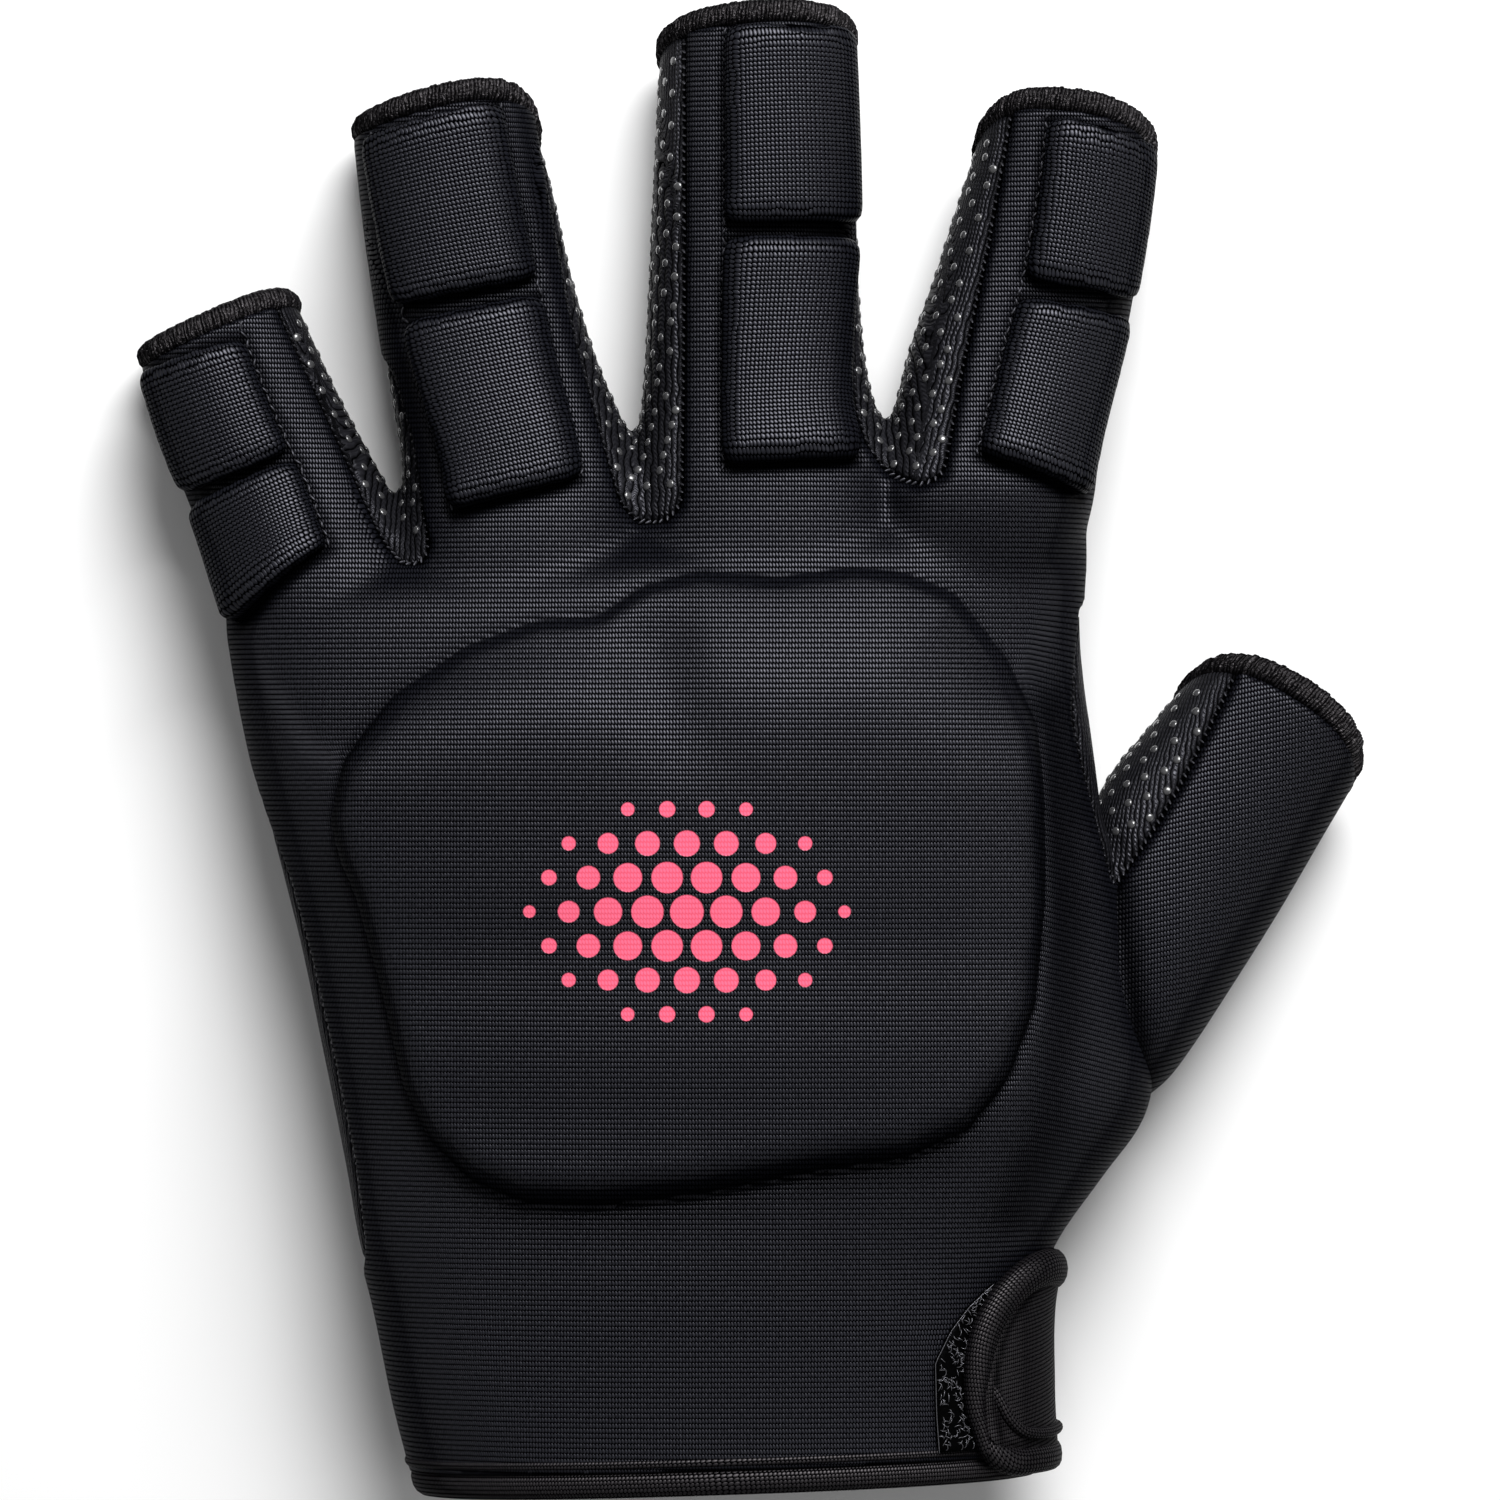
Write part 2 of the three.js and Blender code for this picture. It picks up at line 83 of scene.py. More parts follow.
FINGERS = {
    "pinky": table([
        (-78.9, 49.8, -58.9, 57.5, 16, 0, 0.9, 0.5),
        (-75.7, 39.7, -54.6, 48.1, 17, 0, 0.8),
        (-72.0, 30.6, -51.1, 41.3, 18, 0, 0),
        (-69.7, 24.1, -46.8, 33.5, 20, 0, 0),
        (-67.3, 16.9, -42.3, 24.7, 23, 0, 0),
        (-60.0, 3.0, -40.3, 9.0, 20, 0, 0),
    ]),
    "ring": table([
        (-51.2, 79.2, -27.5, 79.7, 18, 0, 4.0, 0.6),
        (-49.9, 67.6, -25.2, 70.4, 18.5, 0, 2, 0.3),
        (-48.4, 57.2, -23.3, 61.8, 19, 0, 0.6),
        (-46.7, 46.2, -19.9, 50.7, 21, 0, 0),
        (-45.1, 35.1, -15.6, 40.3, 23.5, 0, 0),
        (-46.2, 24.7, -12.4, 29.9, 26, 0, 0),
        (-45.5, 10.0, -13.0, 14.0, 27, 0, 0),
    ]),
    "middle": table([
        (-11.8, 89.7, 13.5, 91.7, 18, 0, 3.5),
        (-12.6, 74.1, 13.9, 76.0, 19, 0, 1),
        (-13.3, 58.5, 14.2, 59.8, 20, 0, 0),
        (-14.2, 44.2, 15.9, 46.2, 22, 0, 0),
        (-16.3, 33.8, 20.2, 36.4, 25, 0, 0),
        (-16.9, 15.0, 22.1, 17.0, 27.5, 0, 0),
    ]),
    "index": table([
        (29.3, 77.4, 52.4, 76.1, 18, 0, 6.0, -0.12),
        (27.0, 70.9, 50.8, 66.3, 18.5, 0, 3.5),
        (24.1, 61.8, 49.0, 56.6, 19.5, 0, 1.2),
        (20.9, 52.7, 47.3, 48.8, 21, 0, 0),
        (18.2, 42.3, 45.2, 39.7, 23.5, 0, 0),
        (15.3, 33.8, 43.9, 31.2, 26, 0, 0),
        (15.5, 12.0, 37.5, 12.0, 21, 0, 0),
    ]),
}
THUMB = table([
    (56.2, 7.8, 77.5, -5.6, 17, 0, 6.5),
    (52.0, 2.9, 74.4, -10.8, 18, 0, 3),
    (46.3, -4.3, 68.5, -20.8, 19.5, 0, 0.8),
    (42.3, -14.3, 63.1, -29.3, 21, 0, 0),
    (39.0, -26.0, 56.7, -39.0, 22, 0, 0),
    (34.0, -37.7, 50.2, -47.6, 22, 0, 0),
    (28.0, -46.8, 41.0, -55.9, 21, 0, 0),
])

WIDEST = 0.42  # height of the widest place of a section
ROUND = 2.3  # superellipse power, 2 for an ellipse
FLAT = 1.22  # how early the underside runs flat
UNDER_LIFT = 0.25  # the cloth's underside stays this much over the rest, where the dots touch
GIRTH_STEP = 3  # degrees between the places that measure the way round a section


def row_frame(row):
    """Middle, half width, direction across and direction along a row, in millimetres."""
    across = Vector((row["rx"] - row["lx"], row["ry"] - row["ly"], 0))
    half = across.length / 2
    across.normalize()
    middle = Vector(((row["lx"] + row["rx"]) / 2, (row["ly"] + row["ry"]) / 2, 0))
    return middle, half, across, Vector((-across.y, across.x, 0))


def signed_power(value, power):
    return math.copysign(abs(value) ** power, value)


def section_point(row, degrees, grow=0.0):
    """Point of a row's section at an angle (0 right edge, 90 top, 180 left edge)."""
    middle, half, across, along = row_frame(row)
    widest = row["base"] + WIDEST * (row["top"] - row["base"])
    side = (half + grow) * signed_power(math.cos(math.radians(degrees)), 2 / ROUND)
    climb = signed_power(math.sin(math.radians(degrees)), 2 / ROUND)
    if climb > 0:
        z = widest + (row["top"] + grow - widest) * climb
    else:
        z = widest + (widest - row["base"] - UNDER_LIFT + grow) * max(-1, FLAT * climb)
    share = min(1, max(-1, side / half))
    push = row["lean"] * (1 + row["skew"] * share) * (z - widest) / (row["top"] - widest)
    return middle + across * side + along * push + Vector((0, 0, z))


def lengths_of(points):
    """Length of the way through points, at each of them."""
    total = [0.0]
    for here, there in zip(points, points[1:]):
        total.append(total[-1] + (there - here).length)
    return total


def lengths_along(rows):
    """Distance of each row from the first, along the middles."""
    return lengths_of([row_frame(row)[0] for row in rows])


def row_at(rows, distance):
    """Row a distance along a form, on a smooth curve through its rows."""
    at = lengths_along(rows)
    i = 0
    while i < len(rows) - 2 and distance > at[i + 1]:
        i += 1
    step = at[i + 1] - at[i]
    t = (distance - at[i]) / step
    h = t * t * (3 - 2 * t)
    mixed = {}
    for name in COLUMNS:
        a, b = rows[i][name], rows[i + 1][name]
        if t < 0 or t > 1:
            mixed[name] = a + (b - a) * t
            continue
        slope_a = (b - rows[i - 1][name]) / (at[i + 1] - at[i - 1]) if i else (b - a) / step
        more = i + 2 < len(rows)
        slope_b = (rows[i + 2][name] - a) / (at[i + 2] - at[i]) if more else (b - a) / step
        mixed[name] = (a * (1 - h) + b * h
                       + step * slope_a * t * (1 - t) ** 2 - step * slope_b * t * t * (1 - t))
    return mixed


def place_on(rows, distance, degrees, grow=0.0):
    return section_point(row_at(rows, distance), degrees, grow)


def outward(rows, distance, degrees):
    """Direction out of the fabric at a place of a form."""
    row = row_at(rows, distance)
    return (section_point(row, degrees, 1) - section_point(row, degrees)).normalized()


def girth(rows, distance):
    """Angles round a section, and the length of the way round to each of them."""
    row = row_at(rows, distance)
    angles = np.arange(0, 361, GIRTH_STEP)
    ring = [section_point(row, int(degrees)) for degrees in angles]
    return angles, np.array(lengths_of(ring))


def between(stops, value):
    """Value on a line through (position, value) stops."""
    return float(np.interp(value, [stop[0] for stop in stops], [stop[1] for stop in stops]))


def smoothstep(low, high, values):
    """0 up to low, 1 from high on, and a soft rise between."""
    t = np.clip((values - low) / (high - low), 0, 1)
    return t * t * (3 - 2 * t)


def ridge(distance, width):
    """1 on a line, fading to both sides of it."""
    return np.exp(-(distance / width) ** 2)


def mixed(pair, share):
    return pair[0] + (pair[1] - pair[0]) * share


# Mesh helpers

def knit_layer(bm):
    """Place of each vertex on its fabric: across the wales and along them, in millimetres, then
    painted shade in folds and seams.
    """
    return bm.verts.layers.float_vector.get("knit") or bm.verts.layers.float_vector.new("knit")


def new_object(name, bm):
    """A smooth mesh object from a bmesh, placed at the origin."""
    mesh = bpy.data.meshes.new(name)
    bm.to_mesh(mesh)
    bm.free()
    obj = bpy.data.objects.new(name, mesh)
    bpy.context.scene.collection.objects.link(obj)
    mesh.polygons.foreach_set("use_smooth", [True] * len(mesh.polygons))
    return obj


def applied(obj):
    """The object's mesh with its modifiers, as a bmesh; the object is removed."""
    graph = bpy.context.evaluated_depsgraph_get()
    mesh = bpy.data.meshes.new_from_object(obj.evaluated_get(graph))
    bm = bmesh.new()
    bm.from_mesh(mesh)
    bpy.data.meshes.remove(mesh)
    old = obj.data
    bpy.data.objects.remove(obj)
    bpy.data.meshes.remove(old)
    return bm


def loft(bm, rings, knit=None, close=True):
    """Adds a skin through rings of points: a circle, extruded edge by edge from ring to ring."""
    layer = knit_layer(bm)
    verts = bmesh.ops.create_circle(bm, segments=len(rings[0]), radius=1)["verts"]
    edges = list(dict.fromkeys(edge for vert in verts for edge in vert.link_edges))
    first = edges
    for number, ring in enumerate(rings):
        if number:
            made = bmesh.ops.extrude_edge_only(bm, edges=edges)["geom"]
            new = {item for item in made if isinstance(item, bmesh.types.BMVert)}
            edges = [item for item in made if isinstance(item, bmesh.types.BMEdge)
                     and item.verts[0] in new and item.verts[1] in new]
            verts = [next(edge.other_vert(vert) for edge in vert.link_edges
                          if edge.other_vert(vert) in new) for vert in verts]
        for place, (vert, point) in enumerate(zip(verts, ring)):
            vert.co = point * MM
            if knit:
                vert[layer] = (*knit[number][place], 0)
    if close:
        bmesh.ops.edgeloop_fill(bm, edges=first)
        bmesh.ops.edgeloop_fill(bm, edges=edges)
    return first, edges


def form_loft(bm, rows):
    """Adds a whole form as a closed loft, which runs on past its open end."""
    total = lengths_along(rows)[-1]
    count = int((total + RUN_ON) / FORM_STEP)
    rings = []
    for i in range(count + 1):
        row = row_at(rows, -RUN_ON + (total + RUN_ON) * i / count)
        rings.append([section_point(row, 360 * j / SEGMENTS) for j in range(SEGMENTS)])
    loft(bm, rings)


def cord(bm, points, ups, width, height, sides, power=2.0, ends=True):
    """Adds a cord along points; ups point out of the fabric under it, sizes are half ones.

    width and height may be functions of the share of the points done.
    """
    rings, knit = [], []
    length = 0.0
    for i, (point, up) in enumerate(zip(points, ups)):
        ahead = points[min(i + 1, len(points) - 1)] - points[max(i - 1, 0)]
        side = ahead.cross(up).normalized()
        true_up = side.cross(ahead).normalized()
        share = i / (len(points) - 1)
        w = width(share) if callable(width) else width
        h = height(share) if callable(height) else height
        length += (point - points[i - 1]).length if i else 0
        ring = []
        for j in range(sides):
            angle = 2 * math.pi * j / sides - math.pi / 2
            across = w * signed_power(math.cos(angle), 2 / power)
            out = h * signed_power(math.sin(angle), 2 / power)
            ring.append(point + side * across + true_up * out)
        rings.append(ring)
        knit.append([((w + h) * math.pi * j / sides, length) for j in range(sides)])
    if ends:
        rings = rounded_end(rings[0], rings[1]) + rings + rounded_end(rings[-1], rings[-2])[::-1]
        knit = [knit[0]] * 2 + knit + [knit[-1]] * 2
    loft(bm, rings, knit)


def rounded_end(ring, following):
    """Two shrinking rings past the end of a cord."""
    middle = sum(ring, Vector()) / len(ring)
    ahead = middle - sum(following, Vector()) / len(following)
    out = ahead.normalized() * max((point - middle).length for point in ring)
    return [[middle + out * far + (point - middle) * size for point in ring]
            for far, size in ((0.72, 0.35), (0.45, 0.8))]


class Heap:
    """Gathers many small shapes: they are built a few at a time and then added."""

    BATCH = 24

    def __init__(self):
        self.whole = bmesh.new()
        self.batch = bmesh.new()
        self.count = 0
        knit_layer(self.whole)
        knit_layer(self.batch)

    def next(self):
        """The mesh to build the next shape in."""
        self.count += 1
        if self.count % self.BATCH == 0:
            self.add()
        return self.batch

    def add(self):
        mesh = bpy.data.meshes.new("batch")
        self.batch.to_mesh(mesh)
        self.batch.free()
        self.whole.from_mesh(mesh)
        bpy.data.meshes.remove(mesh)
        self.batch = bmesh.new()
        knit_layer(self.batch)

    def gathered(self):
        self.add()
        self.batch.free()
        return self.whole


def flatten_under(bm, height=0.03):
    """Cloth lies flat on what it rests on."""
    for vert in bm.verts:
        vert.co.z = max(vert.co.z, height * MM)


WRIST_MIDDLE = Vector((-3, -80, 17)) * MM


def thicken_inward(bm, thickness):
    """Gives a sheet round the wrist a wall on its inner side."""
    bmesh.ops.recalc_face_normals(bm, faces=bm.faces)
    facing = sum(face.normal.dot(face.calc_center_median() - WRIST_MIDDLE) for face in bm.faces)
    if facing < 0:
        bmesh.ops.reverse_faces(bm, faces=bm.faces[:])
    bmesh.ops.solidify(bm, geom=bm.faces[:], thickness=thickness * MM)


def remeshed(name, bm, voxel):
    """One clean skin round everything in the bmesh."""
    bmesh.ops.recalc_face_normals(bm, faces=bm.faces)
    obj = new_object(name, bm)
    remesh = obj.modifiers.new("Skin", "REMESH")
    remesh.mode = "VOXEL"
    remesh.voxel_size = voxel * MM
    return applied(obj)


def smooth(bm, verts, times, factor=0.5):
    for _ in range(times):
        bmesh.ops.smooth_vert(bm, verts=verts, factor=factor, use_axis_x=True, use_axis_y=True,
                              use_axis_z=True)


def positions(bm):
    return np.array([vert.co[:] for vert in bm.verts]) / MM


def normals(bm):
    bm.normal_update()
    return np.array([vert.normal[:] for vert in bm.verts])


def averaged(bm, values, times):
    """Values over the vertices, evened out between neighbours."""
    bm.verts.index_update()
    pairs = np.array([[edge.verts[0].index, edge.verts[1].index] for edge in bm.edges])
    count = np.maximum(np.bincount(pairs.ravel(), minlength=len(values)), 1)
    for _ in range(times):
        total = np.bincount(pairs[:, 0], values[pairs[:, 1]], len(values))
        total += np.bincount(pairs[:, 1], values[pairs[:, 0]], len(values))
        values = 0.4 * values + 0.6 * total / count
    return values


def cut_at_zero(bm, field):
    """Moves vertices onto the zero line of a field, so that no face crosses it, and evens it."""
    layer = bm.verts.layers.float.get("cut") or bm.verts.layers.float.new("cut")
    for vert, value in zip(bm.verts, field):
        vert[layer] = value
    best = {}
    for edge in bm.edges:
        a, b = edge.verts
        fa, fb = a[layer], b[layer]
        if fa * fb >= 0:
            continue
        t = fa / (fa - fb)
        near, share, far = (a, t, b) if t <= 0.5 else (b, 1 - t, a)
        if near not in best or share < best[near][0]:
            best[near] = (share, near.co.lerp(far.co, share))
    for vert, (_, place) in best.items():
        vert.co = place
        vert[layer] = 0.0
    for face in list(bm.faces):
        signs = [vert[layer] for vert in face.verts]
        zeros = [vert for vert in face.verts if vert[layer] == 0]
        if len(signs) == 4 and len(zeros) == 2 and min(signs) < 0 < max(signs):
            bmesh.utils.face_split(face, zeros[0], zeros[1])
    for _ in range(6):
        moves = {}
        for vert in best:
            line = [edge.other_vert(vert) for edge in vert.link_edges
                    if edge.other_vert(vert)[layer] == 0]
            if len(line) == 2:
                moves[vert] = vert.co * 0.5 + (line[0].co + line[1].co) * 0.25
        for vert, place in moves.items():
            vert.co = place
    return layer


def keep_side(bm, layer, positive=True):
    """Deletes the faces on the other side of a cut."""
    doomed = [face for face in bm.faces
              if (sum(vert[layer] for vert in face.verts) < 0) == positive]
    bmesh.ops.delete(bm, geom=doomed, context="FACES")
    bm.verts.index_update()


def polygon_distance(points, corners):
    """Distance of each (x, y) from a polygon's edge, negative inside it."""
    corners = np.array(corners, float)
    nearest = np.full(len(points), 1e9)
    inside = np.zeros(len(points), bool)
    for a, b in zip(corners, np.roll(corners, -1, axis=0)):
        edge = b - a
        t = np.clip(((points - a) @ edge) / (edge @ edge), 0, 1)
        nearest = np.minimum(nearest, np.linalg.norm(points - (a + t[:, None] * edge), axis=1))
        crosses = (a[1] > points[:, 1]) != (b[1] > points[:, 1])
        if abs(edge[1]) > 1e-9:
            x_at = a[0] + (points[:, 1] - a[1]) * edge[0] / edge[1]
            inside ^= crosses & (points[:, 0] < x_at)
    return np.where(inside, -nearest, nearest)


def finish(obj, slot, *nodes):
    """Ties a finished piece to the part."""
    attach(obj, "root")
    if nodes:
        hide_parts(*nodes)
    return obj


# Where the grip knit shows from above, as polygons in plan

GRIP_PLACES = {
    "pinky_ring": [(-63.8, 64), (-61.1, 57.2), (-54.2, 42.2), (-47.5, 27.6), (-44.9, 24.0),
                   (-42.3, 24.0), (-41.4, 26.2), (-42.3, 30.0), (-43.9, 40.3), (-46.2, 48.5),
                   (-49.8, 55.0), (-55.0, 76.0)],
    "ring_middle": [(-29.8, 92.0), (-28.2, 83.2), (-22.8, 54.6), (-16.5, 31.8), (-14.3, 29.4),
                    (-10.9, 29.4), (-8.9, 31.5), (-8.7, 60.0), (-8.7, 100.0)],
    "middle_index": [(15.5, 99.0), (13.6, 80.0), (13.6, 52.0), (14.0, 44.0), (15.2, 39.8),
                     (18.2, 35.4), (21.5, 34.0), (24.7, 35.0), (27.3, 49.4), (30.6, 65.0),
                     (33.6, 82.0), (34.5, 95.0)],
    "index_thumb": [(46.0, 24.0), (42.6, 18.0), (42.0, 10.0), (41.9, 4.0), (42.9, -1.3),
                    (44.9, -9.1), (46.9, -17.0), (54.0, -12.0), (54.0, 12.0)],
    "outer_palm": [(-68.5, 9.0), (-65.2, 0.0), (-62.2, -9.0), (-59.3, -16.9), (-56.5, -27.3),
                   (-53.7, -39.6), (-50.9, -53.3), (-49.6, -63.7), (-50.4, -78.0), (-80.0, -78.0),
                   (-80.0, 9.0)],
}
THUMB_GRIP = [(64.6, 14.0), (62.4, 9.1), (55.9, -3.9), (52.0, -10.4), (47.0, -17.5),
              (36.0, -24.0), (36.0, 12.0), (50.0, 22.0)]
SIDE_SEAM = 6.0  # height of the seam along the outer sides of hand and fingers
LEAST_SLOPE = 0.3  # a seam's distance is stretched by the cloth's slope, at most to 1 / 0.3


def seam_field(bm, places):
    """Distance over the surface from the seam, positive on the back fabric."""
    points, directions = positions(bm), normals(bm)
    flatness = averaged(bm, np.clip(np.abs(directions[:, 2]), LEAST_SLOPE, 1), 8)
    steepness = np.hypot(directions[:, 0], directions[:, 1])
    steepness = averaged(bm, np.clip(steepness, LEAST_SLOPE, 1), 8)
    field = (points[:, 2] - SIDE_SEAM) / steepness
    for corners in places:
        field = np.minimum(field, polygon_distance(points[:, :2], corners) / flatness)
    return field


# Back pad relief

BACK_PAD = [
    (37.0, -19.5), (36.9, -8.0), (36.4, 2.6), (32.5, 11.7), (26.0, 20.0), (19.5, 22.5),
    (13.0, 23.0), (3.9, 21.8), (-6.5, 22.4), (-13.5, 20.6), (-19.5, 16.9), (-27.3, 16.3),
    (-36.4, 13.0), (-45.5, 6.5), (-51.4, -1.5), (-52.8, -9.0), (-51.5, -14.0), (-49.4, -19.0),
    (-46.2, -31.0), (-43.4, -42.9), (-40.4, -49.4), (-35.1, -54.6), (-28.6, -57.2),
    (-19.5, -57.5), (-6.5, -56.0), (6.5, -53.4), (19.5, -51.4), (27.3, -48.1), (32.5, -41.6),
    (35.8, -32.5),
]
PAD_HEIGHT = 5.2
PAD_RISE = 4.0  # the sides and the foot reach the pad's height over this distance
TOP_SLOPE = 21.0  # the side by the knuckles takes this distance
TOP_STEP = 1.8  # and starts with a low step, which is this wide
STEP_SHARE = 0.16  # and takes this share of the height
CREASE_DEPTH = 0.7
CREASE_WIDTH = 0.9
LOBE_VALLEY_DEPTH = 1.8
LOBE_VALLEY_WIDTH = 6.0


def back_pad_relief(points):
    """Height of the moulded pad and of the crease round it."""
    inside = -polygon_distance(points[:, :2], BACK_PAD)
    # steep at the sides and the foot; by the knuckles a low step and one long easy slope
    top_side = smoothstep(-6, 12, points[:, 1])
    sharp = np.sqrt(1 - (1 - np.clip(inside / PAD_RISE, 0, 1)) ** 2)
    soft = (1 - STEP_SHARE) * (1 - (1 - np.clip(inside / TOP_SLOPE, 0, 1)) ** 2)
    soft += STEP_SHARE * smoothstep(0, TOP_STEP, inside)
    rise = PAD_HEIGHT * (sharp * (1 - top_side) + soft * top_side)
    crease = CREASE_DEPTH * ridge(inside + 0.2, CREASE_WIDTH) * (1 - 0.75 * top_side)
    # a shallow valley runs up between the two lobes by the knuckles
    from_line = points[:, 0] + 11 + 0.2 * (points[:, 1] - 8)
    lobes = LOBE_VALLEY_DEPTH * ridge(from_line, LOBE_VALLEY_WIDTH)
    lobes *= smoothstep(-8, 8, points[:, 1]) * smoothstep(0, 8, inside)
    # the underside keeps its shape
    return (rise - crease - lobes) * smoothstep(12, 18, points[:, 2])


# Sewn valleys and the fold at the thumb

PAD_TABLE = {
    # finger, distance from the tube's end to the pad's head and foot, on the right and the
    # left side, and the angles of the right and the left side, at the head and at the foot
    "pinky_pad_tip": ("pinky", (2.8, 1.5), (17.8, 16.5), (78, 79), (149, 150)),
    "pinky_pad_base": ("pinky", (19.4, 18.4), (30.8, 37.0), (78, 82), (150, 152)),
    "ring_pad_tip": ("ring", (0.6, 1.5), (20.8, 21.0), (59, 55), (140, 132)),
    "ring_pad_base": ("ring", (23.2, 23.8), (46.8, 48.5), (55, 63), (129, 118)),
    "middle_pad_tip": ("middle", (0.5, 0.6), (23.3, 22.9), (27, 25), (103, 102)),
    "middle_pad_base": ("middle", (25.5, 25.0), (54.3, 53.8), (26, 52), (102, 103)),
    "index_pad_tip": ("index", (1.0, 1.2), (16.8, 18.0), (27, 24), (99, 94)),
    "index_pad_base": ("index", (19.6, 20.4), (44.3, 40.2), (24, 30), (94, 94)),
}
PAD_VALLEY_DEPTH = 0.6
PAD_VALLEY_WIDTH = 1.0
# The fold where the thumb meets the hand: the hand swells along it, the thumb sinks in
FOLD = [(46.6, -13.0), (47.1, -16.9), (48.75, -26.0), (50.05, -36.4), (51.35, -46.2),
        (51.0, -50.0)]
FOLD_SWELL_WIDTH = 3.0
FOLD_DEPTH = 1.1
FOLD_WIDTH = 2.6
# The hollow between the fold and the back pad
HOLLOW = [(39.5, 4.0), (40.3, -10.0), (41.3, -22.0), (41.0, -36.0), (38.5, -49.0),
          (34.0, -60.0)]
HOLLOW_DEPTH = 0.9
HOLLOW_WIDTH = 3.6


def pad_place(name, across, along):
    """Distance and angle of a place of a finger pad, from its right head corner (0, 0)."""
    finger, head, foot, right, left = PAD_TABLE[name]
    distance = mixed((mixed(head, across), mixed(foot, across)), along)
    return distance, mixed((mixed(right, along), mixed(left, along)), across)


def pad_outlines():
    """The pads' outlines in plan."""
    outlines = []
    for name, row in PAD_TABLE.items():
        corners = [(0, 0), (1, 0), (1, 0.5), (1, 1), (0.5, 1), (0, 1), (0, 0.5)]
        places = [place_on(FINGERS[row[0]], *pad_place(name, *corner)) for corner in corners]
        outlines.append([(place.x, place.y) for place in places])
    return outlines


def valley(points):
    """How deep a place lies in the sewn valley round a finger pad, 0 to 1."""
    depth = np.zeros(len(points))
    for corners in pad_outlines():
        away = polygon_distance(points[:, :2], corners)
        depth = np.maximum(depth, ridge(away, PAD_VALLEY_WIDTH))
    return depth * smoothstep(8, 11, points[:, 2])


def line_distance(points, line):
    """Distance in plan from an open line: the fold at the thumb or the hollow beside it."""
    return np.abs(polygon_distance(points[:, :2], line + line[::-1][1:-1]))


# The body of the hand and the thumb, as clean skins

def end_field(points, rows):
    """Distance from the plane of a form's open end, positive on the kept side."""
    row = rows[0]
    middle, half, across, along = row_frame(row)
    widest = row["base"] + WIDEST * (row["top"] - row["base"])
    delta = points - np.array([middle.x, middle.y, 0])
    ahead = delta @ np.array(along[:])
    if rows is PALM:
        return ahead
    share = np.clip(delta @ np.array(across[:]) / half, -1, 1)
    lean = row["lean"] * (1 + row["skew"] * share)
    ahead -= lean * (points[:, 2] - widest) / (row["top"] - widest)
    near = np.hypot(delta[:, 0], delta[:, 1]) < half + END_REACH
    return np.where(near, -ahead, 1.0)


def make_skin(name, forms, rounds):
    """One skin over the forms, smoothed some rounds and cut at their open ends."""
    bm = bmesh.new()
    for rows in forms:
        form_loft(bm, rows)
    bm = remeshed(name, bm, VOXEL)
    smooth(bm, bm.verts, rounds)
    for rows in forms:
        keep_side(bm, cut_at_zero(bm, end_field(positions(bm), rows)))
    return bm


def signed_distance(tree, points):
    """Distance of points from a closed skin, negative inside it, in millimetres."""
    result = np.empty(len(points))
    for i, point in enumerate(points):
        here = Vector(point) * MM
        place, normal, _, distance = tree.find_nearest(here)
        result[i] = math.copysign(distance / MM, (here - place).dot(normal))
    return result


def displace(bm, amounts):
    """Moves each vertex out of the cloth by its amount, and never under the glove's underside."""
    bm.normal_update()
    moves = [vert.normal * float(amount) * MM for vert, amount in zip(bm.verts, amounts)]
    for vert, move in zip(bm.verts, moves):
        vert.co += move
        vert.co.z = max(vert.co.z, UNDER_LIFT * MM)


PASSAGE = 2.4  # depth to which the hand's and the thumb's skin run on inside each other
KNUCKLES_OVER = 14  # the knuckles are evened out over this height
KNUCKLES_FROM, KNUCKLES_TO = 6, 38  # and between these places along the hand

hand = make_skin("hand", [PALM, *FINGERS.values()], 4)
thumb = make_skin("thumb", [THUMB], 2)
hand_tree = BVHTree.FromBMesh(hand)
thumb_tree = BVHTree.FromBMesh(thumb)
keep_side(hand, cut_at_zero(hand, signed_distance(thumb_tree, positions(hand)) + PASSAGE))
keep_side(thumb, cut_at_zero(thumb, signed_distance(hand_tree, positions(thumb)) + PASSAGE))
knuckles = [vert for vert in hand.verts
            if vert.co.z > KNUCKLES_OVER * MM
            and KNUCKLES_FROM * MM < vert.co.y < KNUCKLES_TO * MM]
smooth(hand, knuckles, 14)
places = positions(hand)
swell = ridge(line_distance(places, FOLD), FOLD_SWELL_WIDTH)
swell *= smoothstep(-48, -38, places[:, 1])
hollow = ridge(line_distance(places, HOLLOW), HOLLOW_WIDTH) * smoothstep(14, 18, places[:, 2])
displace(hand, back_pad_relief(places) - PAD_VALLEY_DEPTH * valley(places) + swell
         - HOLLOW_DEPTH * hollow)
smooth(hand, hand.verts, 1, 0.3)
displace(thumb, -FOLD_DEPTH * ridge(line_distance(positions(thumb), FOLD), FOLD_WIDTH))

# Directions of the knit, and the painted shade in its folds and seams

KNUCKLES = 27.0  # from here the grip knit's straight courses turn with the fingers
TURN_REACH = 8  # over this distance to both sides
DROP_WIDTH = 0.85  # a millimetre down a flank counts as this much across the knit


def axis_samples(forms):
    """Places along the middle of each form, a millimetre apart."""
    samples = []
    for rows in forms:
        span = int(lengths_along(rows)[-1])
        foot = row_frame(row_at(rows, span))[0]
        for k in range(span + 1):
            middle, half, across, _ = row_frame(row_at(rows, k))
            # the palm's rows run up from the cuff, the others down from their ends
            turned = rows is not PALM
            start = (foot.x, foot.y + span - k) if turned else (middle.x, middle.y)
            top = row_at(rows, k)["top"]
            samples.append((middle.x, middle.y, half, across.x, across.y, *start, turned, top))
    return np.array(samples, float)


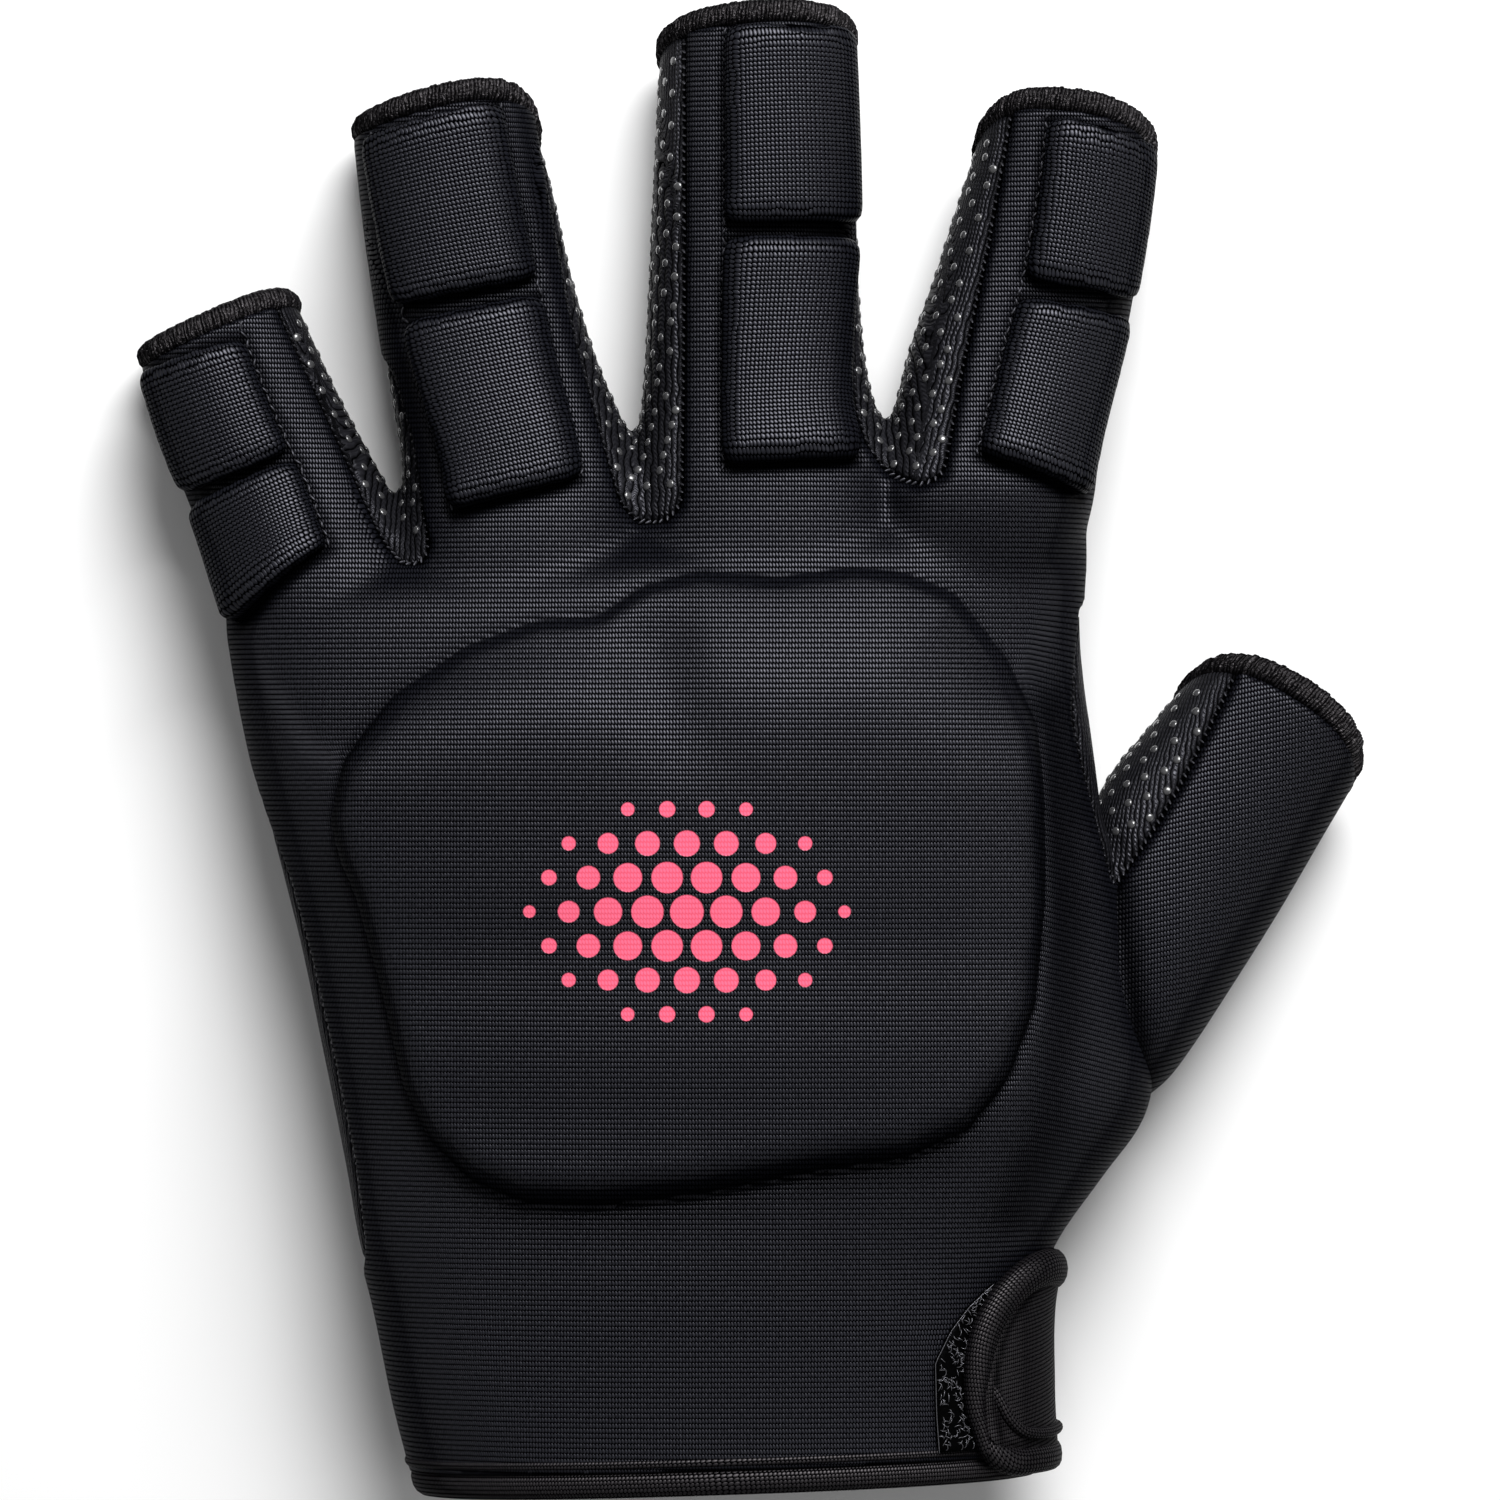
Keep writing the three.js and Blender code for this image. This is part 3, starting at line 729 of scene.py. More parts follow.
HAND_AXES = axis_samples([PALM, *FINGERS.values()])
THUMB_AXES = axis_samples([THUMB])


POINTS_AT_ONCE = 4000


def on_forms(points, axes):
    """Place of each point on its nearest form: share across it, and unrolled x and y."""
    share, x, y, turned, top = (np.empty(len(points)) for _ in range(5))
    for start in range(0, len(points), POINTS_AT_ONCE):
        part = slice(start, start + POINTS_AT_ONCE)
        delta = points[part, None, :2] - axes[None, :, :2]
        best = (np.linalg.norm(delta, axis=2) / axes[None, :, 2]).argmin(axis=1)
        axis = axes[best]
        off = points[part, :2] - axis[:, :2]
        sideways = off[:, 0] * axis[:, 3] + off[:, 1] * axis[:, 4]
        share[part] = sideways / axis[:, 2]
        x[part] = axis[:, 5] + sideways
        y[part] = axis[:, 6] - off[:, 0] * axis[:, 4] + off[:, 1] * axis[:, 3]
        turned[part] = axis[:, 7]
        top[part] = axis[:, 8]
    return share, x, y, turned, top


def lay_knit(bm, axes, sunk, slope=None, with_fingers=False):
    """Writes the knit's place over a panel; the drop of its flanks counts as width.

    The third number is painted shade, 0 to 1, for how deep a place lies in a fold or a seam: sunk
    gives it.
    """
    points = positions(bm)
    share, x, y, turned, top = on_forms(points, axes)
    if with_fingers:
        weight = smoothstep(KNUCKLES - TURN_REACH, KNUCKLES + TURN_REACH, points[:, 1]) * turned
        x = points[:, 0] * (1 - weight) + x * weight
        y = points[:, 1] * (1 - weight) + y * weight
    else:
        x, y = points[:, 0], points[:, 1]
    drop = np.clip(top - points[:, 2], 0, 40)
    drop *= np.sign(share) * DROP_WIDTH * smoothstep(0.5, 1.0, np.abs(share))
    u = x + averaged(bm, drop, 8)
    v = y + slope(points) if slope else y
    depth = np.clip(sunk(bm, points), 0, 1)
    layer = knit_layer(bm)
    for vert, a, b, c in zip(bm.verts, u, v, depth):
        vert[layer] = (a, b, c)


def seam_edge_shade(bm):
    """Painted shade at the seam edge of a panel: 1 there, fading over a millimetre."""
    layer = bm.verts.layers.float["cut"]
    seam = [vert.co / MM for vert in bm.verts if vert[layer] == 0 and vert.is_boundary]
    tree = KDTree(len(seam))
    for number, place in enumerate(seam):
        tree.insert(place, number)
    tree.balance()
    away = np.array([tree.find(vert.co / MM)[2] for vert in bm.verts])
    return ridge(away, 0.8)


# Painted shade on the back: in the crease round the pad, the hollow by the thumb, the valleys round
# the finger pads and at the seam edges.
def back_fold_shade(bm, points):
    inside = -polygon_distance(points[:, :2], BACK_PAD)
    crease = 0.75 * ridge(inside + 0.3, 0.55) * (1 - 0.8 * smoothstep(-4, 16, points[:, 1]))
    hollow = 0.6 * ridge(line_distance(points, HOLLOW), 3.4)
    folds = np.maximum(np.maximum(crease, hollow), valley(points))
    return np.maximum(folds, seam_edge_shade(bm))


# Painted shade along the fold at the thumb and at the seam edges.
def thumb_fold_shade(bm, points):
    return np.maximum(ridge(line_distance(points, FOLD), 1.8), seam_edge_shade(bm))


# Painted shade at the seam edges.
def grip_seam_shade(bm, points):
    return seam_edge_shade(bm)


def back_slope(points):
    """The back's courses sink towards the fold at the thumb."""
    reach = smoothstep(-70, -40, points[:, 1]) * (1 - smoothstep(5, 25, points[:, 1]))
    return 0.27 * np.clip(points[:, 0] - 36, 0, 30) * reach


def thumb_slope(points):
    """The thumb's courses rise to the right."""
    return -0.2 * (points[:, 0] - 50)


# Panels

BACK_LIFT = 0.55  # the lined back stands this much over the grip knit at the seam
SEAM_DEPTH = 0.5
SEAM_WIDTH = 0.6
FIN_AGREES = 0.2  # a face that agrees less than this with the directions beside it is a fin


def split_panels(bm, places):
    """Cuts a skin along its seam into the back fabric and the grip knit, with a sewn groove."""
    layer = cut_at_zero(bm, averaged(bm, seam_field(bm, places), 3))
    side = np.sign([vert[layer] for vert in bm.verts])
    field = np.abs(seam_field(bm, places)) * side
    lift = BACK_LIFT * smoothstep(0.15, 1.3, field)
    displace(bm, lift - SEAM_DEPTH * ridge(field, SEAM_WIDTH))
    parts = []
    for positive in (True, False):
        part = bm.copy()
        keep_side(part, part.verts.layers.float["cut"], positive)
        loose = [vert for vert in part.verts if not vert.link_faces]
        bmesh.ops.delete(part, geom=loose, context="VERTS")
        parts.append(part)
    bm.free()
    return parts


def without_fins(bm):
    """Deletes the few faces at a cut that stand up from the cloth round them."""
    bm.normal_update()
    fins = []
    for face in bm.faces:
        beside = [other for edge in face.edges for other in edge.link_faces if other is not face]
        facing = sum((other.normal for other in beside), Vector())
        if face.normal.dot(facing) < FIN_AGREES:
            fins.append(face)
    bmesh.ops.delete(bm, geom=fins, context="FACES")


def walled(name, bm):
    """The finished cloth piece: its skin with a wall grown inward, lined inside."""
    without_fins(bm)
    obj = new_object(name, bm)
    wall = obj.modifiers.new("Wall", "SOLIDIFY")
    wall.thickness = WALL * MM
    wall.offset = -1
    wall.material_offset = 1
    return obj


hand_back, hand_grip = split_panels(hand, GRIP_PLACES.values())
thumb_back, thumb_grip = split_panels(thumb, [THUMB_GRIP])
lay_knit(hand_back, HAND_AXES, back_fold_shade, back_slope)
lay_knit(thumb_back, THUMB_AXES, thumb_fold_shade, thumb_slope)
lay_knit(hand_grip, HAND_AXES, grip_seam_shade, with_fingers=True)
lay_knit(thumb_grip, THUMB_AXES, grip_seam_shade, with_fingers=True)
back_tree = BVHTree.FromBMesh(hand_back)
thumb_back_tree = BVHTree.FromBMesh(thumb_back)
grip_tree = BVHTree.FromBMesh(hand_grip)
thumb_grip_tree = BVHTree.FromBMesh(thumb_grip)


LEAST_SEAM = 8  # points in a seam; a shorter line is a stray edge


def seam_lines(bm):
    """The seam edges of a panel as lines of points with the direction out of the cloth."""
    layer = bm.verts.layers.float["cut"]
    bm.normal_update()
    ahead = {}
    for edge in bm.edges:
        a, b = edge.verts
        if edge.is_boundary and a[layer] == 0 and b[layer] == 0:
            ahead.setdefault(a, []).append(b)
            ahead.setdefault(b, []).append(a)
    lines = []
    while ahead:
        start = next((vert for vert, near in ahead.items() if len(near) == 1),
                     next(iter(ahead)))
        line = [start]
        while True:
            onward = [vert for vert in ahead.pop(line[-1]) if vert in ahead]
            if not onward:
                break
            line.append(onward[0])
        if len(line) > LEAST_SEAM:
            lines.append([(vert.co / MM, vert.normal.copy()) for vert in line])
    return lines


back_seams = seam_lines(hand_back)
thumb_seams = seam_lines(thumb_back)

back_panel = finish(walled("back_panel_cloth", hand_back), "neoprene", "back_panel", "back_pad")
thumb_panel = finish(walled("thumb_back_cloth", thumb_back), "neoprene", "thumb_back")
palm_cloth = finish(walled("palm_cloth", hand_grip), "grip_knit", "palm_panel")
thumb_palm_cloth = finish(walled("thumb_palm_cloth", thumb_grip), "grip_knit")


DROP_FROM = 9.0  # height over the form from which a place is dropped on to the back
DROP_REACH = 30


def on_back(rows, distance, degrees):
    """Point of the back fabric under a place of a form, and the direction out of it."""
    out = outward(rows, distance, degrees)
    here = place_on(rows, distance, degrees)
    place, normal, _, _ = back_tree.ray_cast((here + out * DROP_FROM) * MM, -out, DROP_REACH * MM)
    if place is None:
        place, normal, _, _ = back_tree.find_nearest(here * MM)
    return place / MM, normal


# Finger pads: pillows of foam under knit, sewn to the back

FINGER_PAD = 3.3  # height
PAD_CORNER = 1.1  # radius of the corners
PAD_SIDE = (6.5, 2.8)  # the pads rise over this distance from their right and left sides
PAD_END = 1.3  # and over this one from head and foot
PAD_RIM = 0.3  # height of the edge from which they rise
PAD_UNDER = 0.06  # and of the underside over the back
PAD_GRID = 46
WAY_STEPS = 16  # in which the ways over and down a pad are measured


def rounded(a, b, ra, rb):
    """Moves a place of a square from -1 to 1 so that the square's corners are round."""
    u, v = abs(a) - (1 - ra), abs(b) - (1 - rb)
    if u <= 0 or v <= 0:
        return a, b
    u, v = u / ra, v / rb
    a = math.copysign(1 - ra + ra * u * math.sqrt(1 - v * v / 2), a)
    b = math.copysign(1 - rb + rb * v * math.sqrt(1 - u * u / 2), b)
    return a, b


def quarter(share):
    """Height of a quarter round, 0 at 0 and 1 from 1 on."""
    share = min(1, max(0, share))
    return math.sqrt(1 - (1 - share) ** 2)


def finger_pad(name):
    """A closed pillow on the back of a finger, higher in the middle."""
    rows = FINGERS[PAD_TABLE[name][0]]
    steps = [k / WAY_STEPS for k in range(WAY_STEPS + 1)]
    over = [place_on(rows, *pad_place(name, step, 0.5), FINGER_PAD) for step in steps]
    down = [place_on(rows, *pad_place(name, 0.5, step), FINGER_PAD) for step in steps]
    wide = list(zip(steps, lengths_of(over)))
    long = list(zip(steps, lengths_of(down)))
    width, length = wide[-1][1], long[-1][1]
    bm = bmesh.new()
    layer = knit_layer(bm)
    under = bmesh.ops.create_grid(bm, x_segments=PAD_GRID, y_segments=PAD_GRID, size=1)["verts"]
    made = bmesh.ops.extrude_face_region(bm, geom=bm.faces[:])["geom"]
    top = {item for item in made if isinstance(item, bmesh.types.BMVert)}
    for vert in under + list(top):
        a, b = rounded(vert.co.x, vert.co.y, 2 * PAD_CORNER / width, 2 * PAD_CORNER / length)
        distance, degrees = pad_place(name, (a + 1) / 2, (b + 1) / 2)
        place, out = on_back(rows, distance, degrees)
        # depth is painted shade in the knit's third number: 0.8 under the pad, and on top along its
        # sides and ends
        rise, depth = PAD_UNDER, 0.8
        if vert in top:
            aside = (1 - abs(vert.co.x)) * width / 2
            onward = (1 - abs(vert.co.y)) * length / 2
            sides = quarter(aside / PAD_SIDE[vert.co.x > 0])
            rise = PAD_RIM + (FINGER_PAD - PAD_RIM) * sides * quarter(onward / PAD_END)
            depth = max(0.45 * ridge(aside, 0.6), 0.9 * ridge(onward, 0.4))
        vert.co = (place + out * rise) * MM
        vert[layer] = (between(wide, (a + 1) / 2), between(long, (b + 1) / 2), depth)
    smooth(bm, list(top), 2, 0.3)
    bmesh.ops.recalc_face_normals(bm, faces=bm.faces)
    return finish(new_object(name + "_cloth", bm), "pad_knit", name)


pads = [finger_pad(name) for name in PAD_TABLE]

# Overlocked edges of the tubes

EDGE_LENGTH = 3.3
EDGE_OVER = 0.4  # length of the roll that lies over the fabric
EDGE_PROUD = 0.55  # how far it stands out on both sides
THREAD_PITCH = 0.5
THREAD_SLANT = 0.9  # passes of the needle from the roll's head to its foot
RIB_POINTS = 6
ROLL_SECTIONS = 14  # round the roll, and round the hem
EDGE_ROUND = 2.6  # superellipse power of the roll
HEM_ROUND = 2.4  # and of the hem


def overlock(name, rows, seed):
    """A roll of thread sewn over the fabric's edge, with a rib for each pass of the needle."""
    draw = random.Random(seed)
    angles, reached = girth(rows, 0)
    ribs = int(reached[-1] / THREAD_PITCH)
    fullness = [draw.uniform(-1, 1) for _ in range(ribs)]
    count = ribs * RIB_POINTS
    spine = []
    for k in range(count):
        degrees = float(np.interp(k / count * reached[-1], reached, angles))
        ahead = place_on(rows, -1.5, degrees) - place_on(rows, 0.5, degrees)
        middle = place_on(rows, -EDGE_LENGTH / 2 + EDGE_OVER, degrees)
        spine.append((middle, ahead.normalized(), outward(rows, 0, degrees)))
    rings, knit = [], []
    for j in range(ROLL_SECTIONS):
        turn = 2 * math.pi * j / ROLL_SECTIONS
        along = (EDGE_LENGTH / 2) * signed_power(math.cos(turn), 2 / EDGE_ROUND)
        out = (WALL / 2 + EDGE_PROUD) * signed_power(math.sin(turn), 2 / EDGE_ROUND)
        ring = []
        for k, (middle, ahead, normal) in enumerate(spine):
            place = k / RIB_POINTS + THREAD_SLANT * along / EDGE_LENGTH
            full = fullness[int(place) % ribs]
            swell = 1 + 0.12 * (abs(math.sin(math.pi * place)) - 0.6) + 0.1 * full
            ring.append(middle + ahead * along * (1 + 0.04 * full)
                        + normal * (out * swell - WALL / 2 - 0.1))
        rings.append(ring)
        knit.append([(k / RIB_POINTS * THREAD_PITCH, along) for k in range(count)])
    bm = bmesh.new()
    first, last = loft(bm, rings, knit, close=False)
    bmesh.ops.bridge_loops(bm, edges=first + last)
    flatten_under(bm)
    bmesh.ops.recalc_face_normals(bm, faces=bm.faces)
    return finish(new_object(name + "_thread", bm), "edge_thread", name)


edges = [overlock(name + "_edge", rows, number)
         for number, (name, rows) in enumerate({**FINGERS, "thumb": THUMB}.items())]

# Cuff: a folded band over the edge, with a thin roll above it

HEM_LENGTH = 3.3
HEM_STEPS = 220  # round the cuff
HEM_STEP_WIDTH = 1.05  # width of a step on the knit
HEM_SECTIONS = (  # distance from the cuff, half length, half height, rise of the middle
    (-HEM_LENGTH / 2 + 0.2, HEM_LENGTH / 2 + 0.2, WALL / 2 + 0.5, -WALL / 2 + 0.1),
    (1.05, 0.62, 0.75, 0.05),
)


def hem():
    bm = bmesh.new()
    angles = [360 * k / HEM_STEPS for k in range(HEM_STEPS)]
    for distance, half_length, half_height, rise in HEM_SECTIONS:
        rings, knit = [], []
        for j in range(ROLL_SECTIONS):
            turn = 2 * math.pi * j / ROLL_SECTIONS
            along = half_length * signed_power(math.cos(turn), 2 / HEM_ROUND)
            out = half_height * signed_power(math.sin(turn), 2 / HEM_ROUND) + rise
            rings.append([place_on(PALM, distance + along, degrees)
                          + outward(PALM, 0, degrees) * out for degrees in angles])
            knit.append([(k * HEM_STEP_WIDTH, along) for k in range(HEM_STEPS)])
        first, last = loft(bm, rings, knit, close=False)
        bmesh.ops.bridge_loops(bm, edges=first + last)
    bmesh.ops.recalc_face_normals(bm, faces=bm.faces)
    return finish(new_object("cuff_hem_band", bm), "strap_knit", "cuff_hem")


hem_band = hem()

# Wrist strap, by angle round the wrist and distance from the cuff

STRAP_EDGES = (  # angle, lower edge, upper edge
    (-72, -0.8, 24.4), (0, -0.8, 24.5), (19, -0.8, 24.6), (30, -0.4, 21.8), (37, 0.9, 17.2),
    (40.5, 3.2, 9.0),
)
STRAP_ROLL = (  # the rolled rim: angle, distance
    (-72, 24.2), (-40, 24.2), (-12, 24.2), (4, 24.5), (17, 24.9), (25, 23.8), (31, 21.5),
    (35.7, 18.5), (38.9, 14.9), (40.8, 10.8), (41.5, 7.0), (40.7, 4.4), (40.0, 2.4), (39.0, 0.9),
)
STRAP_BAND = (  # the lower band
    (40.3, 5.4), (39.2, 2.6), (36.5, 0.6), (31, -0.5), (22, -0.6), (10, -0.6), (-12, -0.6),
    (-40, -0.6), (-72, -0.6),
)
STRAP_PIPING = (
    (40.4, 12.6), (37.0, 9.2), (34.4, 5.9), (30.0, 3.7), (25, 3.0), (16, 2.8), (4, 3.0),
    (-20, 3.0), (-72, 3.0),
)
WRIST_DEGREE = 0.62  # length of a degree round the wrist's side
STRAP_THICK = 1.6  # of the panel between the rim and the piping
ROLL_CORE = 2.3  # the panel is in the roll's shade from this far off its middle
LOW_SHADE = 1.75  # and in the shade between band and piping at this distance
CURVE_STEPS = 12  # between two stops of a cord


def curve_through(stops, count):
    """Smooth (angle, distance) places through the stops, evenly spaced along them."""
    stops = [np.array(stop, float) for stop in stops]
    dense = []
    for i in range(len(stops) - 1):
        before = stops[max(i - 1, 0)]
        after = stops[min(i + 2, len(stops) - 1)]
        a, b = stops[i], stops[i + 1]
        for t in np.arange(CURVE_STEPS) / CURVE_STEPS:
            dense.append(a + 0.5 * t * (b - before
                                        + t * (2 * before - 5 * a + 4 * b - after
                                               + t * (3 * (a - b) + after - before))))
    dense = np.array(dense + [stops[-1]])
    steps = np.linalg.norm(np.diff(dense * [WRIST_DEGREE, 1.0], axis=0), axis=1)
    reach = np.concatenate([[0], np.cumsum(steps)])
    return [(float(np.interp(d, reach, dense[:, 0])), float(np.interp(d, reach, dense[:, 1])))
            for d in np.linspace(0, reach[-1], count)]


def strap_cord(bm, stops, lift, width, height, count, power=2.0, dip=0.0):
    """A cord on the strap; with a dip, it comes out from under the roll at its start."""
    places = curve_through(stops, count)
    points = []
    for number, (degrees, distance) in enumerate(places):
        sunk = dip * (1 - eased(number / count, 0, 0.1))
        points.append(place_on(PALM, distance, degrees, lift - sunk))
    ups = [outward(PALM, distance, degrees) for degrees, distance in places]
    cord(bm, points, ups, width, height, sides=16, power=power)


def eased(share, low, high):
    return float(smoothstep(low, high, share))


def roll_width(share):
    """The roll is a little narrower below its turn and runs out at its free end."""
    return 2.65 - 0.25 * eased(share, 0.4, 0.7) - 1.4 * eased(share, 0.8, 1)


def roll_height(share):
    return 1.75 - 0.65 * eased(share, 0.84, 1)


def band_width(share):
    """The band starts narrow, where it comes out from under the roll."""
    return 0.9 + 1.0 * eased(share, 0, 0.12)


def strap():
    bm = bmesh.new()
    layer = knit_layer(bm)
    grid = bmesh.ops.create_grid(bm, x_segments=60, y_segments=36, size=1)["verts"]
    lower = [(row[0], row[1]) for row in STRAP_EDGES]
    upper = [(row[0], row[2]) for row in STRAP_EDGES]
    sewn, free = STRAP_EDGES[0][0], STRAP_EDGES[-1][0]
    roll = np.array(curve_through(STRAP_ROLL, 60)) * [WRIST_DEGREE, 1.0]
    for vert in grid:
        degrees = sewn + (free - sewn) * (vert.co.x + 1) / 2
        low, high = between(lower, degrees), between(upper, degrees)
        distance = low + (high - low) * (vert.co.y + 1) / 2
        here = np.array([degrees * WRIST_DEGREE, distance])
        beside = np.linalg.norm(roll - here, axis=1).min()
        # depth is painted shade on the panel beside the roll and between band and piping
        depth = 0.9 * max(ridge(beside - ROLL_CORE, 0.7), ridge(distance - LOW_SHADE, 0.5))
        vert[layer] = (here[0], distance + 0.12 * here[0], depth)
        vert.co = place_on(PALM, distance, degrees, 3.0) * MM
    thicken_inward(bm, STRAP_THICK)
    strap_cord(bm, STRAP_ROLL, 1.8, roll_width, roll_height, 90)
    strap_cord(bm, STRAP_BAND, 2.0, band_width, 1.5, 80, power=2.5, dip=1.3)
    strap_cord(bm, STRAP_PIPING, 2.9, 0.8, 0.9, 80, dip=1.6)
    flatten_under(bm)
    bmesh.ops.recalc_face_normals(bm, faces=bm.faces)
    return finish(new_object("wrist_strap_cloth", bm), "strap_knit", "wrist_strap")


strap_cloth = strap()

# Loop pile under the strap's end

PATCH_LEFT = (  # distance from the cuff, angle of the left edge
    (1.2, 51.2), (13.0, 50.6), (14.5, 49.0), (17.0, 46.5), (20.0, 42.0), (23.0, 35.5),
)
PATCH_RIGHT = 24
PATCH_HEIGHT = 0.7
PATCH_KNIT = (16, 22)  # width and length on the knit
LOOPS = 480
LOOP_SIZE = (0.3, 0.6)  # half width
LOOP_RADIUS = 0.05  # of its thread
LOOP_STEPS = 6


def loop_patch():
    draw = random.Random(11)
    heap = Heap()
    bm = heap.next()
    layer = knit_layer(bm)
    grid = bmesh.ops.create_grid(bm, x_segments=16, y_segments=30, size=1)["verts"]
    first, last = PATCH_LEFT[0][0], PATCH_LEFT[-1][0]

    def place(across, along, lift):
        distance = first + (last - first) * along
        left = between(PATCH_LEFT, distance)
        return place_on(PALM, distance, PATCH_RIGHT + (left - PATCH_RIGHT) * across, lift)

    for vert in grid:
        across, along = (vert.co.x + 1) / 2, (vert.co.y + 1) / 2
        vert[layer] = (across * PATCH_KNIT[0], along * PATCH_KNIT[1], 0)
        vert.co = place(across, along, BACK_LIFT + PATCH_HEIGHT) * MM
    thicken_inward(bm, PATCH_HEIGHT)
    ground = len(bm.faces)
    for _ in range(LOOPS):
        across, along = draw.uniform(0.25, 0.97), draw.uniform(0.03, 0.97)
        root = place(across, along, BACK_LIFT + PATCH_HEIGHT - 0.1)
        up = (place(across, along, 3) - place(across, along, 1)).normalized()
        heading = draw.uniform(0, 2 * math.pi)
        side = Vector((math.cos(heading), math.sin(heading), 0))
        side = (side - up * side.dot(up)).normalized()
        lean = up.cross(side) * draw.uniform(-0.9, 0.9)
        size = draw.uniform(*LOOP_SIZE)
        points = [root + side * size * math.cos(math.pi * k / LOOP_STEPS)
                  + (up + lean) * size * 0.8 * math.sin(math.pi * k / LOOP_STEPS)
                  for k in range(LOOP_STEPS + 1)]
        cord(heap.next(), points, [up] * len(points), LOOP_RADIUS, LOOP_RADIUS, sides=4,
             ends=False)
    edge = [place(1, k / 30, BACK_LIFT + PATCH_HEIGHT) for k in range(31)]
    cord(heap.next(), edge, [Vector((0, 0, 1))] * 31, 0.05, 0.07, sides=8)
    bm = heap.gathered()
    bm.faces.ensure_lookup_table()
    for face in bm.faces[ground:]:
        face.material_index = 1
    bmesh.ops.recalc_face_normals(bm, faces=bm.faces)
    return finish(new_object("loop_patch_pile", bm), "loop_pile", "loop_patch")


patch = loop_patch()

# Silicone dots on the grip knit

DOT = 0.6  # radius
DOT_HEIGHT = 0.36  # share of the radius
DOT_STEP = 3.8  # between two dots of a row; the rows are half of it apart
DOT_MARGIN = 0.9  # least distance from the seam, and the most from the form's own surface
FIRST_DOTS = 2.4  # distance of the first row from a tube's end
# The lattice under the palm: left edge, lower and upper end, and dots in a row
PALM_DOTS_LEFT, PALM_DOTS_FROM, PALM_DOTS_TO = -68, -60, 24
PALM_DOTS_ACROSS = 40


def bead(heap, place, normal, ahead, length, width, height):
    """A small rounded bump on the fabric, longer along one direction."""
    side = normal.cross(ahead).normalized()
    turn = Matrix((side, ahead.normalized(), normal)).transposed().to_4x4()
    sizes = Matrix.Diagonal((width, length, height, 1 / MM)) * MM
    bmesh.ops.create_icosphere(heap.next(), subdivisions=2, radius=1,
                               matrix=Matrix.Translation(place * MM) @ turn @ sizes)


def dot(heap, place, normal):
    bead(heap, place, normal, normal.orthogonal(), DOT, DOT, DOT * DOT_HEIGHT)


def tube_dots(heap, tree, back, rows, bottom):
    """Rows of dots along a tube, each second row half a step on, clear of its back fabric."""
    distance, odd = FIRST_DOTS, 0
    while distance < bottom:
        angles, reached = girth(rows, distance)
        count = int(reached[-1] / DOT_STEP)
        for k in range(count):
            at = (k + 0.5 * odd) * reached[-1] / count
            degrees = float(np.interp(at, reached, angles))
            place, normal, _, away = tree.find_nearest(place_on(rows, distance, degrees) * MM)
            if away < DOT_MARGIN * MM and back.find_nearest(place)[3] > DOT_MARGIN * MM:
                dot(heap, place / MM, normal)
        distance += DOT_STEP * 0.5
        odd = 1 - odd


def palm_dots(heap):
    """Dots under the palm, in the same lattice, where a ray from below meets the knit."""
    up, down = Vector((0, 0, 1)), Vector((0, 0, -1))
    for number in range(int((PALM_DOTS_TO - PALM_DOTS_FROM) / (DOT_STEP / 2))):
        y = PALM_DOTS_FROM + number * DOT_STEP / 2
        for column in range(PALM_DOTS_ACROSS):
            x = PALM_DOTS_LEFT + (column + 0.5 * (number % 2)) * DOT_STEP
            place = grip_tree.ray_cast(Vector((x, y, -5)) * MM, up, 8 * MM)[0]
            if place is not None and back_tree.find_nearest(place)[3] > 2 * MM:
                dot(heap, place / MM, down)


def silicone():
    heap = Heap()
    for rows in FINGERS.values():
        tube_dots(heap, grip_tree, back_tree, rows, lengths_along(rows)[-1] - 18)
    tube_dots(heap, thumb_grip_tree, thumb_back_tree, THUMB, 40)
    palm_dots(heap)
    bm = heap.gathered()
    flatten_under(bm, 0.01)
    return finish(new_object("grip_dots", bm), "grip_knit")


dots = silicone()

# Stitches


def even_line(line, pitch):
    """Points a pitch apart along a line of (point, direction out), with the way ahead."""
    points = np.array([point[:] for point, _ in line])
    ups = np.array([up[:] for _, up in line])
    reach = np.concatenate([[0], np.cumsum(np.linalg.norm(np.diff(points, axis=0), axis=1))])
    places = []
    for at in np.arange(pitch / 2, reach[-1], pitch):
        here = Vector([float(np.interp(at, reach, points[:, i])) for i in range(3)])
        near = [float(np.interp(at + 0.4, reach, points[:, i])) for i in range(3)]
        up = Vector([float(np.interp(at, reach, ups[:, i])) for i in range(3)]).normalized()
        ahead = Vector(near) - here
        if ahead.length > 1e-4:
            ahead.normalize()
            places.append((here, up, (ahead - up * ahead.dot(up)).normalized()))
    return places


# The stitched side of each finger: its pads and the share across them, 0 right and 1 left
PAD_STITCHES = (
    ("pinky_pad_tip", "pinky_pad_base", 0), ("ring_pad_tip", "ring_pad_base", 0),
    ("ring_pad_tip", "ring_pad_base", 1), ("middle_pad_tip", "middle_pad_base", 1),
    ("index_pad_tip", "index_pad_base", 1),
)
STITCH_OFF = 0.4  # distance of the thread from the pads
STITCH_FROM = 0.2  # and of its first stitch from the tube's end
ZIGZAG_PITCH = 1.3
ZIGZAG_LENGTH = (0.45, 0.65)  # half length
ZIGZAG_SIZE = (0.17, 0.2)  # half width and height
SEAM_PITCH = 1.0
SEAM_SIZE = (0.7, 0.16, 0.22)  # half length, half width and height


